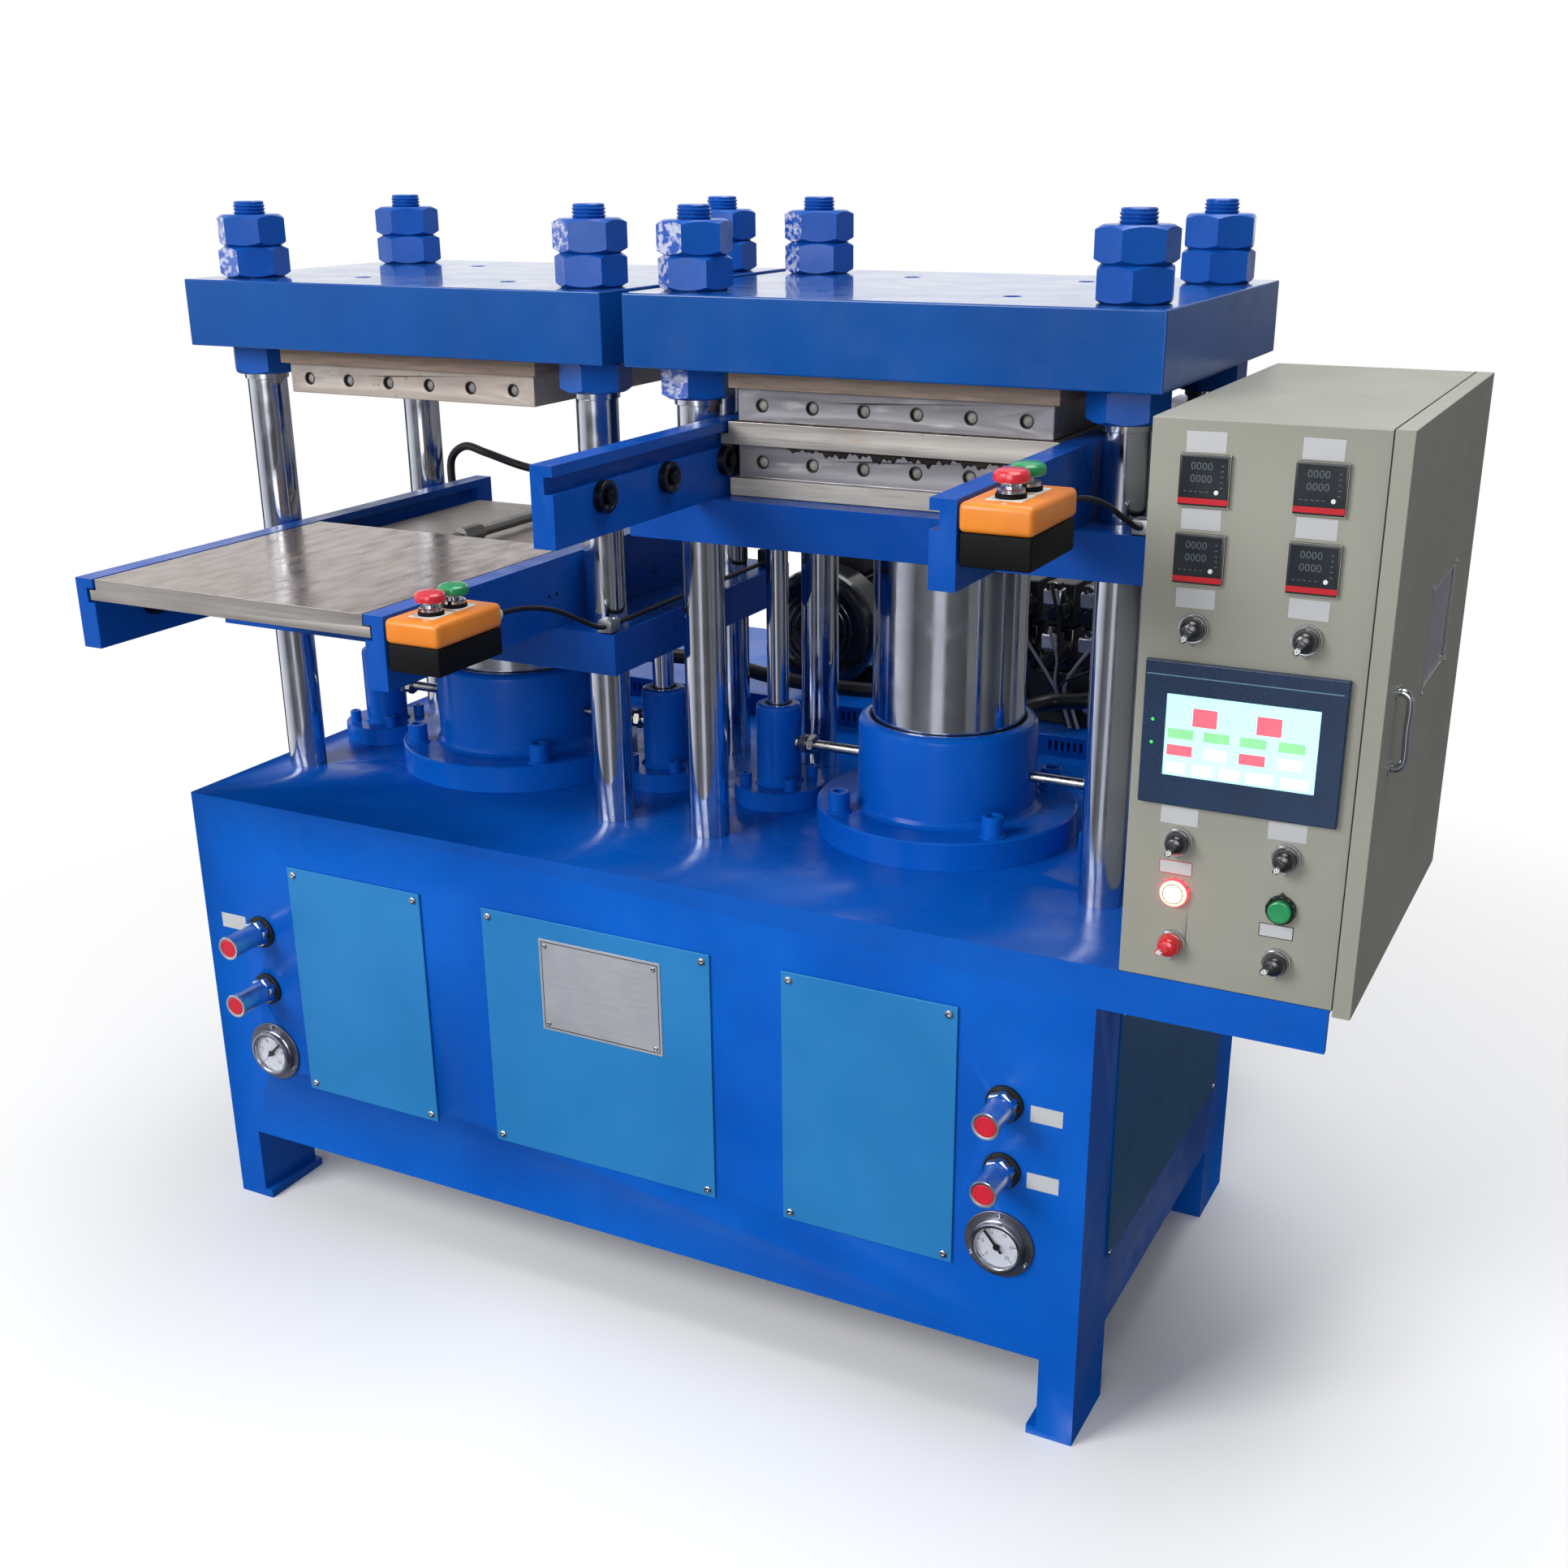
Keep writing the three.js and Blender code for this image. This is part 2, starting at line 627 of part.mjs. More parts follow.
// Hydraulic cylinder: a flanged barrel with a blind bore, held on the bed by four socket screws
function flangedCylinder(values, boreDiameter, stroke, sides) {
  const { barrel, flange, flangeThickness, rise, floor, engaged, bottomGap } = values;
  const seat = bedHeight + fit;
  const top = bedHeight + rise;
  const bore = boreDiameter / 2 + fit;
  const boreFloor = top - engaged - stroke - bottomGap;
  const outline = [
    [0, boreFloor - floor],
    [barrel / 2, boreFloor - floor],
    [barrel / 2, seat],
    [flange / 2, seat],
    [flange / 2, seat + flangeThickness],
    [barrel / 2, seat + flangeThickness],
    [barrel / 2, top],
    [bore, top],
    [bore, boreFloor],
    [0, boreFloor],
  ];
  const body = turned(outline, 0, 0, sides);
  const screws = corners.map((corner) => {
    const reach = values.boltCircle / Math.SQRT2;
    const x = corner.xShare * reach;
    const y = corner.yShare * reach;
    const foot = seat + flangeThickness;
    return column(values.bolt / 2, x, y, foot - fit, foot + values.boltHeight, smallSides);
  });
  return join(body, ...screws, portFitting(values));
}

const crownSolid = crownPlate();
const upperPlateSolid = heatingPlate(false);
const lowerPlateSolid = heatingPlate(true);
const tableSolid = movingTable();
const mouldSolid = mouldPlate();
const mainCylinderSolid = flangedCylinder(mainCylinder, ramDiameter, pressStroke, largeSides);
const ramHead = -tableThickness - fit;
const ramSolid = column(ramDiameter / 2, 0, 0, ramHead - ramLength, ramHead, largeSides);
const railSolids = { left: guideRail(-1), right: guideRail(1) };
const boosterSolid = flangedCylinder(booster, boosterRodDiameter, pressStroke, roundSides);

// The fitting of a main cylinder points backwards, and that of a booster towards the main cylinder
const backwards = [0, 0, Math.PI / 2];
const wayTurns = { left: [0, 0, 0], right: [0, 0, Math.PI] };

for (const { side, centre, tableTop, mouldOut } of stations) {
  addPiece(`${side}_crown_plate`, crownSolid, "blue", [centre, stationCentreY, 0]);
  addPiece(`${side}_upper_heating_plate`, upperPlateSolid, "plateSteel", [
    centre,
    stationCentreY,
    upperPlateUnderside,
  ]);
  addPiece(`${side}_main_cylinder`, mainCylinderSolid, "blue", [centre, stationCentreY, 0], backwards);
  for (const way of ["left", "right"]) {
    const x = centre + ((way === "left" ? -1 : 1) * boosterSpacing) / 2;
    const place = [x, stationCentreY, 0];
    addPiece(`${side}_station_${way}_booster_cylinder`, boosterSolid, "blue", place, wayTurns[way]);
  }
  addPiece(`${side}_table`, tableSolid, "blue", [centre, stationCentreY, tableTop]);
  addPiece(`${side}_ram`, ramSolid, "chrome", [centre, stationCentreY, tableTop]);
  addPiece(`${side}_lower_heating_plate`, lowerPlateSolid, "plateSteel", [
    centre,
    stationCentreY,
    tableTop + fit,
  ]);
  for (const way of ["left", "right"]) {
    const x = centre + ((way === "left" ? -1 : 1) * railSpacing) / 2;
    addPiece(`${side}_station_${way}_guide_rail`, railSolids[way], "blue", [
      x,
      stationSetback - railOverhang,
      tableTop + fit,
    ]);
  }
  addPiece(`${side}_mould_plate`, mouldSolid, "mouldSteel", [
    centre,
    stationCentreY - mouldOut,
    tableTop + mouldSeat,
  ]);
}

// Two-button control box on the outer side of each right-hand rail, with its lead to the back of the table.
// The same solid serves both stations, placed like the table
const box = { width: 70, length: 115, height: 57, drop: 2, lowerHeight: 30, step: 1.5 };
const button = { head: 33, headHeight: 12, crown: 3, stem: 12, tail: 10, collar: 28, collarHeight: 9 };
button.travel = 5;
button.firstInset = 37;
button.pitch = 40;
const boxLeft = railSpacing / 2 + railWidth + fit;
const boxFront = stationSetback - railOverhang - stationCentreY;
const boxBack = boxFront + box.length;
const boxTop = fit + rail.height - box.drop;
const boxBottom = boxTop - box.height;
const buttonX = boxLeft + box.width / 2;
const buttonPlaces = [
  { name: "red_button", finish: "red", y: boxFront + button.firstInset },
  { name: "green_button", finish: "green", y: boxFront + button.firstInset + button.pitch },
];

// The lead leaves the back of the box, passes a clip on the front edge of the table and ends in a gland block
// near the back edge
const lead = { radius: 4, edgeInset: 14, gland: 24, glandFromBack: 20, clipWidth: 20, clipLength: 22 };
lead.steps = 14;
lead.clipHeight = 16;
lead.x = stationWidth / 2 - lead.edgeInset;
lead.z = 8;
lead.route = [
  [boxLeft + 49, boxBack - 4, 62],
  [boxLeft + 51, boxBack + 21, 62],
  [boxLeft + 53, boxBack + 71, 57],
  [boxLeft + 58, boxBack + 121, 43],
  [lead.x - 6, -stationDepth / 2 - 37, 24],
  [lead.x, -stationDepth / 2 - 11, 11],
  [lead.x, -stationDepth / 2 + 13, lead.z],
  [lead.x, -stationDepth / 2 + 125, lead.z],
  [lead.x, 60, lead.z],
  [lead.x, stationDepth / 2 - 35, lead.z],
];

function controlBox() {
  const seam = boxBottom + box.lowerHeight;
  const upper = block(boxLeft, boxLeft + box.width, boxFront, boxBack, seam, boxTop);
  const lowerLeft = boxLeft + box.step;
  const lowerRight = boxLeft + box.width - box.step;
  const lower = block(lowerLeft, lowerRight, boxFront + box.step, boxBack - box.step, boxBottom, seam + fit);
  const collarTop = boxTop + button.collarHeight;
  const wellFloor = boxTop - button.tail - button.travel - fit;
  const collars = buttonPlaces.map(({ y }) =>
    column(button.collar / 2, buttonX, y, boxTop - fit, collarTop, mediumSides),
  );
  const wells = buttonPlaces.map(({ y }) =>
    column(boreRadius(button.stem / 2, smallSides), buttonX, y, wellFloor, collarTop + overrun, smallSides),
  );
  const clipFront = -stationDepth / 2 + fit;
  const clipX = lead.x - lead.clipWidth / 2;
  const clip = block(
    clipX,
    clipX + lead.clipWidth,
    clipFront,
    clipFront + lead.clipLength,
    fit,
    fit + lead.clipHeight,
  );
  const glandX = lead.x - lead.gland / 2;
  const glandBack = stationDepth / 2 - lead.glandFromBack;
  const gland = block(glandX, glandX + lead.gland, glandBack - lead.gland, glandBack, fit, fit + lead.gland);
  const cable = hose(lead.route, lead.radius, lead.steps);
  return cut(join(upper, lower, ...collars, clip, gland, cable), ...wells);
}

// A push button that moves down its stem, its stem from below the top of the housing to the head
function mushroomButton() {
  const headBottom = button.collarHeight + button.travel + fit;
  const headTop = headBottom + button.headHeight;
  const headRadius = button.head / 2;
  const outline = [
    [0, -button.tail],
    [button.stem / 2, -button.tail],
    [button.stem / 2, headBottom],
    [headRadius - button.crown, headBottom],
    [headRadius, headBottom + button.crown],
    [headRadius, headTop - button.crown],
    [headRadius - button.crown, headTop - button.crown / 2],
    [0, headTop],
  ];
  return turned(outline, 0, 0, mediumSides);
}

const controlBoxSolid = controlBox();
const buttonSolid = mushroomButton();
for (const { side, centre, tableTop } of stations) {
  addPiece(`${side}_control_box`, controlBoxSolid, "orange", [centre, stationCentreY, tableTop]);
  for (const { name, finish, y } of buttonPlaces) {
    const place = [centre + buttonX, stationCentreY + y, tableTop + boxTop];
    addPiece(`${side}_${name}`, buttonSolid, finish, place);
  }
}

// Hydraulic regulators and pressure gauges on the front wall, each modelled about its own axis with the
// wall face at y = 0 and the front towards -Y
function regulatorKnob() {
  const back = -regulator.seat - fit;
  const front = back - regulator.knobLength;
  const radius = regulator.knob / 2;
  const outline = [
    [0, front],
    [radius - regulator.rim, front],
    [radius, front + regulator.rim],
    [radius, back],
    [regulator.stem / 2, back],
    [regulator.stem / 2, regulator.tail],
    [0, regulator.tail],
  ];
  return turnedY(outline, mediumSides);
}

function pressureGauge() {
  const flangeFront = -fit - gauge.flangeThickness;
  const front = flangeFront - gauge.bezelDepth;
  const dialFace = front + gauge.recess;
  const outline = [
    [0, dialFace],
    [gauge.dial / 2, dialFace],
    [gauge.dial / 2, front],
    [gauge.bezel / 2, front],
    [gauge.bezel / 2, flangeFront],
    [gauge.flange / 2, flangeFront],
    [gauge.flange / 2, -fit],
    [gauge.body / 2, -fit],
    [gauge.body / 2, gauge.bodyLength],
    [0, gauge.bodyLength],
  ];
  return turnedY(outline, roundSides);
}

// The needle points straight up before it is turned, and lies in front of the dial
function gaugeNeedle() {
  const dialFace = -fit - gauge.flangeThickness - gauge.bezelDepth + gauge.recess;
  const back = dialFace - fit;
  const hub = barY(needle.hub / 2, 0, 0, back - needle.hubDepth, back, smallSides);
  const bladeBack = back - (needle.hubDepth - needle.depth) / 2;
  const halfWidth = needle.width / 2;
  const blade = block(-halfWidth, halfWidth, bladeBack - needle.depth, bladeBack, -needle.tail, needle.reach);
  return hub.add(blade);
}

const regulatorSolid = regulatorKnob();
const gaugeSolid = pressureGauge();
const needleSolid = gaugeNeedle();
const needleAngles = { left: 45, right: -40 };
for (const { side, x } of panelColumns) {
  addPiece(`${side}_upper_regulator_knob`, regulatorSolid, "chrome", [x, 0, regulatorHeights.upper]);
  addPiece(`${side}_lower_regulator_knob`, regulatorSolid, "chrome", [x, 0, regulatorHeights.lower]);
  addPiece(`${side}_pressure_gauge`, gaugeSolid, "bezel", [x, 0, gaugeHeight]);
  const turn = [0, THREE.MathUtils.degToRad(needleAngles[side]), 0];
  addPiece(`${side}_gauge_needle`, needleSolid, "black", [x, 0, gaugeHeight], turn);
}

// Control cabinet: a sheet shell that is open on its right side, with a door on hinges at the back
const sheet = 3;
const columnShares = [0.2442, 0.7327];
const controlColumns = columnShares.map((share) => cabinetLeft + share * cabinetWidth);
const thermostat = { side: 48, proud: 4, depth: 60, heightShares: [0.9016, 0.7717] };
const operator = { ring: 29.5, ringDepth: 5, stem: 12, tail: 16, knob: 24, knobDepth: 7, grip: 10 };
operator.gripDepth = 9;
operator.cap = 23;
operator.capProud = 2;
operator.travel = 4;
operator.capDepth = operator.ringDepth + operator.capProud;
operator.lens = 22;
operator.lensProud = 4;
const sevenOClockAngle = 210;
const eightOClockAngle = 240;
const upperRowShare = 0.6543;
const middleRowShare = 0.2699;
const lampRowShare = 0.1738;
const lowerRowShare = 0.0742;

function cabinetHeightAt(share) {
  return cabinetBottom + share * cabinetHeight;
}

const [leftColumn, rightColumn] = controlColumns;
const upperRow = cabinetHeightAt(upperRowShare);
const middleRow = cabinetHeightAt(middleRowShare);
const lampRow = cabinetHeightAt(lampRowShare);
const lowerRow = cabinetHeightAt(lowerRowShare);
const selectors = [
  { name: "upper_left_selector", x: leftColumn, z: upperRow, finish: "black", angle: sevenOClockAngle },
  { name: "upper_right_selector", x: rightColumn, z: upperRow, finish: "black", angle: sevenOClockAngle },
  { name: "middle_left_selector", x: leftColumn, z: middleRow, finish: "black", angle: sevenOClockAngle },
  { name: "middle_right_selector", x: rightColumn, z: middleRow, finish: "black", angle: sevenOClockAngle },
  { name: "red_selector", x: leftColumn, z: lowerRow, finish: "red", angle: eightOClockAngle },
  { name: "lower_right_selector", x: rightColumn, z: lowerRow, finish: "black", angle: eightOClockAngle },
];
const pilotLamp = { x: leftColumn, z: lampRow };
const startButton = { x: rightColumn, z: lampRow };

// The touch screen fills the room between the upper and the middle row
const display = { gapLeft: 10, gapRight: 13, gapAbove: 18.3, gapBelow: 23.2, proud: 6, depth: 38, rim: 5 };
display.recess = 1;
display.left = cabinetLeft + display.gapLeft;
display.right = cabinetRight - display.gapRight;
display.bottom = middleRow + operator.ring / 2 + display.gapBelow;
display.top = upperRow - operator.ring / 2 - display.gapAbove;
display.viewLeft = 23;
display.viewRight = 24;
display.viewBottom = 31;
display.viewTop = 32;

// Inside the cabinet: a mounting plate on four stand-offs with rails of switchgear on it
const gear = { plate: 3, plateInset: 20, margin: 40, standoff: 12, standoffInset: 70, rowDepth: 70 };
gear.count = 2;
gear.spacing = 8;
gear.terminalHeight = 60;
gear.relayHeight = 90;
gear.breakerHeight = 80;
const gearRows = [
  { startShare: 0.0884, height: gear.terminalHeight, lengthShare: 0.625 },
  { startShare: 0.4265, height: gear.relayHeight, lengthShare: 0.7083 },
  { startShare: 0.7468, height: gear.breakerHeight, lengthShare: 0.5417 },
];

// Door: a shallow tray with a D-shaped pull handle and a sunk window plate
const door = { sill: 6.3, inner: 2, hingeRadius: 6, hingeLength: 40, hingeGap: 8, handleFromFront: 60 };
door.left = cabinetRight + fit;
door.right = door.left + doorThickness;
door.bottom = cabinetBottom - door.sill;
door.hingeX = door.left + doorThickness / 2;
door.hingeY = cabinetDepth + door.hingeGap;
door.hingeShares = [0.12, 0.8];
door.leaf = 3;
door.leafWidth = 16;
door.handleStartShare = 0.4141;
door.handleLength = 83;
door.handleRadius = 5;
door.handleReach = 24;
door.windowDepth = 1.5;
door.windowFrontShare = 0.45;
door.windowBackShare = 0.7375;
door.windowBottomShare = 0.4906;
door.windowTopShare = 0.6685;

function cabinetShell() {
  const inner = block(
    cabinetLeft + sheet,
    cabinetRight + overrun,
    sheet,
    cabinetDepth - sheet,
    cabinetBottom + sheet,
    cabinetTop - sheet,
  );
  return cut(block(cabinetLeft, cabinetRight, 0, cabinetDepth, cabinetBottom, cabinetTop), inner);
}

function thermostats() {
  const half = thermostat.side / 2;
  return controlColumns.flatMap((x) =>
    thermostat.heightShares.map((share) => {
      const z = cabinetHeightAt(share);
      return block(x - half, x + half, -thermostat.proud, thermostat.depth, z - half, z + half);
    }),
  );
}

function operatorRings() {
  const places = [...selectors, pilotLamp, startButton];
  return places.map(({ x, z }) => barY(operator.ring / 2, x, z, -operator.ringDepth, sheet, mediumSides));
}

function switchgear() {
  const plateX = cabinetLeft + sheet + gear.plateInset;
  const plate = block(
    plateX,
    plateX + gear.plate,
    gear.margin,
    cabinetDepth - gear.margin,
    cabinetBottom + gear.margin,
    cabinetTop - gear.margin,
  );
  const standoffs = [gear.standoffInset, cabinetDepth - gear.standoffInset].flatMap((y) =>
    [cabinetBottom + gear.standoffInset, cabinetTop - gear.standoffInset].map((z) =>
      barX(gear.standoff / 2, y, z, cabinetLeft + sheet - fit, plateX + fit, smallSides),
    ),
  );
  const blocks = gearRows.flatMap(({ startShare, height, lengthShare }) => {
    const z = cabinetHeightAt(startShare);
    const length = lengthShare * cabinetDepth;
    const pitch = length / gear.count;
    const start = (cabinetDepth - length) / 2;
    return Array.from({ length: gear.count }, (_, index) => {
      const y = start + index * pitch;
      const x = plateX + gear.plate - fit;
      return block(x, x + gear.rowDepth, y, y + pitch - gear.spacing, z, z + height);
    });
  });
  return join(plate, ...standoffs, ...blocks);
}

// Hinge knuckles: the lower half of each belongs to the cabinet and the upper half to the door
function hingeHalf(isUpper) {
  const backOfLeaf = door.hingeY + door.leaf / 2;
  return door.hingeShares.flatMap((share) => {
    const middle = cabinetBottom + share * cabinetHeight + door.hingeLength / 2;
    const z0 = isUpper ? middle + fit : middle - door.hingeLength / 2;
    const z1 = isUpper ? middle + door.hingeLength / 2 : middle;
    const knuckle = column(door.hingeRadius, door.hingeX, door.hingeY, z0, z1, smallSides);
    if (isUpper) {
      const leafX = door.hingeX - door.leaf / 2;
      return [knuckle, block(leafX, leafX + door.leaf, cabinetDepth - door.inner, door.hingeY, z0, z1)];
    }
    const pad = block(cabinetRight - door.leafWidth, cabinetRight, cabinetDepth - fit, backOfLeaf, z0, z1);
    return [knuckle, pad, block(cabinetRight - fit, door.hingeX, backOfLeaf - door.leaf, backOfLeaf, z0, z1)];
  });
}

function controlCabinet() {
  const lampFront = -operator.ringDepth - operator.lensProud;
  const lamp = barY(operator.lens / 2, pilotLamp.x, pilotLamp.z, lampFront, sheet, mediumSides);
  const boreStart = -operator.ringDepth - overrun;
  const boreEnd = sheet + overrun;
  const stemBore = boreRadius(operator.stem / 2, smallSides);
  const bores = selectors.map(({ x, z }) => barY(stemBore, x, z, boreStart, boreEnd, smallSides));
  const capBore = boreRadius(operator.cap / 2, mediumSides);
  bores.push(barY(capBore, startButton.x, startButton.z, boreStart, boreEnd, mediumSides));
  const screenHole = block(
    display.left + display.rim - fit,
    display.right - display.rim + fit,
    -overrun,
    sheet + overrun,
    display.bottom + display.rim - fit,
    display.top - display.rim + fit,
  );
  const fittings = [...thermostats(), ...operatorRings(), lamp, switchgear(), ...hingeHalf(false)];
  const body = join(cabinetShell(), ...fittings);
  return cut(body, ...bores, screenHole);
}

function touchScreen() {
  const { left, right, top } = display;
  const bezel = block(left, right, -display.proud - fit, -fit, display.bottom, top);
  const housing = block(
    left + display.rim,
    right - display.rim,
    -display.proud / 2,
    display.depth,
    display.bottom + display.rim,
    top - display.rim,
  );
  const view = block(
    left + display.viewLeft,
    right - display.viewRight,
    -display.proud - overrun,
    -display.proud - fit + display.recess,
    display.bottom + display.viewBottom,
    top - display.viewTop,
  );
  return cut(bezel.add(housing), view);
}

function cabinetDoor() {
  const leaf = block(door.left, door.right, 0, cabinetDepth, door.bottom, cabinetTop);
  const hollow = block(
    door.left - overrun,
    door.right - door.inner,
    door.inner,
    cabinetDepth - door.inner,
    door.bottom + door.inner,
    cabinetTop - door.inner,
  );
  const front = door.windowFrontShare * cabinetDepth;
  const back = door.windowBackShare * cabinetDepth;
  const bottom = cabinetHeightAt(door.windowBottomShare);
  const top = cabinetHeightAt(door.windowTopShare);
  const backing = block(
    door.right - door.inner - door.windowDepth,
    door.right - fit,
    front - door.inner,
    back + door.inner,
    bottom - door.inner,
    top + door.inner,
  );
  const window = block(door.right - door.windowDepth, door.right + overrun, front, back, bottom, top);
  const { handleRadius, handleFromFront, handleReach } = door;
  const handleBottom = cabinetHeightAt(door.handleStartShare);
  const handleTop = handleBottom + door.handleLength;
  const root = door.right - fit;
  const gripX = root + handleReach - handleRadius;
  const foot = { low: handleBottom + handleRadius, high: handleTop - handleRadius };
  const pull = join(
    barX(handleRadius, handleFromFront, foot.low, root, gripX, smallSides),
    barX(handleRadius, handleFromFront, foot.high, root, gripX, smallSides),
    column(handleRadius, gripX, handleFromFront, handleBottom, handleTop, smallSides),
  );
  return join(cut(join(cut(leaf, hollow), backing), window), pull, ...hingeHalf(true));
}

// A selector knob whose grip points straight up before it is turned
function selectorKnob() {
  const seat = -operator.ringDepth - fit;
  const face = seat - operator.knobDepth;
  const halfGrip = operator.grip / 2;
  return join(
    barY(operator.stem / 2, 0, 0, seat - fit, sheet + operator.tail, smallSides),
    barY(operator.knob / 2, 0, 0, face, seat, mediumSides),
    block(-halfGrip, halfGrip, face - operator.gripDepth, face + fit, -operator.knob / 2, operator.knob / 2),
  );
}

// The push button slides in the bore of its ring
function pushButton() {
  const front = -operator.capDepth - operator.travel;
  return barY(operator.cap / 2, 0, 0, front, sheet + operator.tail, mediumSides);
}

addPiece("control_cabinet", controlCabinet(), "beige");
addPiece("touch_screen", touchScreen(), "screen");
addPiece("cabinet_door", cabinetDoor(), "beige");
const selectorSolid = selectorKnob();
for (const { name, x, z, finish, angle } of selectors) {
  const turn = [0, THREE.MathUtils.degToRad(angle), 0];
  addPiece(`cabinet_${name}`, selectorSolid, finish, [x, 0, z], turn);
}
addPiece("cabinet_green_push_button", pushButton(), "green", [startButton.x, 0, startButton.z]);

// Oil tank behind the base, on feet of its own, with three groups of vent slots under the edge of its lid
const tank = { leftInset: 250, rightInset: 150, depth: 359.7, bottom: 90, rise: 30, wall: 6, foot: 50 };
tank.left = tank.leftInset;
tank.right = baseLength - tank.rightInset;
tank.front = baseDepth + fit;
tank.back = tank.front + tank.depth;
tank.top = bedHeight + tank.rise;
tank.slotCount = 6;
tank.slotWidth = 4;
tank.slotPitch = 9;
tank.slotHeight = 14;
tank.slotDrop = 8;
tank.ventShares = [0.0465, 0.4651, 0.8372];

function oilTank() {
  const shell = block(tank.left, tank.right, tank.front, tank.back, tank.bottom, tank.top);
  const inside = block(
    tank.left + tank.wall,
    tank.right - tank.wall,
    tank.front + tank.wall,
    tank.back - tank.wall,
    tank.bottom + tank.wall,
    tank.top - tank.wall,
  );
  const slotTop = tank.top - tank.slotDrop;
  const slots = tank.ventShares.flatMap((share) =>
    Array.from({ length: tank.slotCount }, (_, index) => {
      const x = tank.left + share * (tank.right - tank.left) + index * tank.slotPitch;
      const wallEnd = tank.front + tank.wall + overrun;
      return block(x, x + tank.slotWidth, tank.front - overrun, wallEnd, slotTop - tank.slotHeight, slotTop);
    }),
  );
  const feet = corners.map((corner) => {
    const x = corner.xShare < 0 ? tank.left : tank.right - tank.foot;
    const y = corner.yShare < 0 ? tank.front : tank.back - tank.foot;
    return block(x, x + tank.foot, y, y + tank.foot, 0, tank.bottom + fit);
  });
  return join(cut(shell, inside, ...slots), ...feet);
}

// Power unit on the tank lid: a finned motor with its pump, a valve block and the hoses to both main cylinders
const unitSetback = 49.7;
const motor = { fromLeft: 335, rise: 95, cowl: 180, cowlDepth: 58, body: 168, bodyLength: 112, bell: 120 };
motor.bellLength = 20;
motor.finCount = 16;
motor.finDepth = 12;
motor.finShare = 0.45;
motor.x = tank.left + motor.fromLeft;
motor.z = tank.top + motor.rise;
motor.front = tank.front + unitSetback;
motor.bodyEnd = motor.front + motor.cowlDepth + motor.bodyLength;
motor.bellEnd = motor.bodyEnd + motor.bellLength;
motor.footWidth = 150;
motor.footInset = 70;
motor.footLength = 80;
motor.terminalWidth = 76;
motor.terminalLength = 84;
motor.terminalHeight = 34;
motor.terminalInset = 78;
const pump = { length: 90, width: 86, height: 96, pipe: 11, suction: 16 };
const valves = { fromRight: 70, width: 160, depth: 100, baseHeight: 76, count: 3, bodyWidth: 40 };
valves.right = tank.right - valves.fromRight;
valves.left = valves.right - valves.width;
valves.front = tank.front + unitSetback;
valves.back = valves.front + valves.depth;
valves.levelCount = 2;
valves.levelHeight = 62;
valves.coil = 36;
valves.coilLength = 44;
valves.plug = 26;
valves.plugHeight = 24;
valves.bodyInset = 8;
valves.coilShare = 0.45;

// A round housing with straight fins all round it, along Y
function finnedBarrel(y0, y1) {
  const outer = motor.body / 2;
  const root = outer - motor.finDepth;
  const step = (2 * Math.PI) / motor.finCount;
  const points = Array.from({ length: motor.finCount }, (_, index) => {
    const start = index * step;
    const end = start + step * motor.finShare;
    return [
      [outer, start],
      [outer, end],
      [root, end],
      [root, start + step],
    ].map(([radius, angle]) => [motor.x + radius * Math.cos(angle), motor.z + radius * Math.sin(angle)]);
  });
  return sectionBar(points.flat(), y0, y1);
}

function electricMotor() {
  const cowlEnd = motor.front + motor.cowlDepth;
  const lid = tank.top + fit;
  const footFront = motor.front + motor.footInset;
  const halfFoot = motor.footWidth / 2;
  const terminalBase = motor.z + motor.body / 2 - motor.finDepth;
  const terminalFront = motor.front + motor.terminalInset;
  const halfTerminal = motor.terminalWidth / 2;
  return join(
    barY(motor.cowl / 2, motor.x, motor.z, motor.front, cowlEnd, largeSides),
    finnedBarrel(cowlEnd - fit, motor.bodyEnd),
    barY(motor.bell / 2, motor.x, motor.z, motor.bodyEnd - fit, motor.bellEnd, roundSides),
    block(
      motor.x - halfFoot,
      motor.x + halfFoot,
      footFront,
      footFront + motor.footLength,
      lid,
      motor.z - motor.body / 4,
    ),
    block(
      motor.x - halfTerminal,
      motor.x + halfTerminal,
      terminalFront,
      terminalFront + motor.terminalLength,
      terminalBase,
      terminalBase + motor.terminalHeight + motor.finDepth,
    ),
  );
}

function pumpWithPipes() {
  const start = motor.bellEnd - fit;
  const end = start + pump.length;
  const half = pump.width / 2;
  const lid = tank.top + fit;
  const pumpBottom = motor.z - pump.height / 2;
  const middle = (start + end) / 2;
  const pipeY = valves.back - valves.bodyInset - pump.pipe;
  return join(
    block(motor.x - half, motor.x + half, start, end, pumpBottom, pumpBottom + pump.height),
    column(pump.suction, motor.x, middle, lid, pumpBottom + fit, smallSides),
    barX(pump.pipe, middle, motor.z, motor.x + half - fit, valves.left + valves.bodyWidth, smallSides),
    barY(pump.pipe, valves.left + valves.bodyWidth, motor.z, pipeY, middle + pump.pipe, smallSides),
  );
}

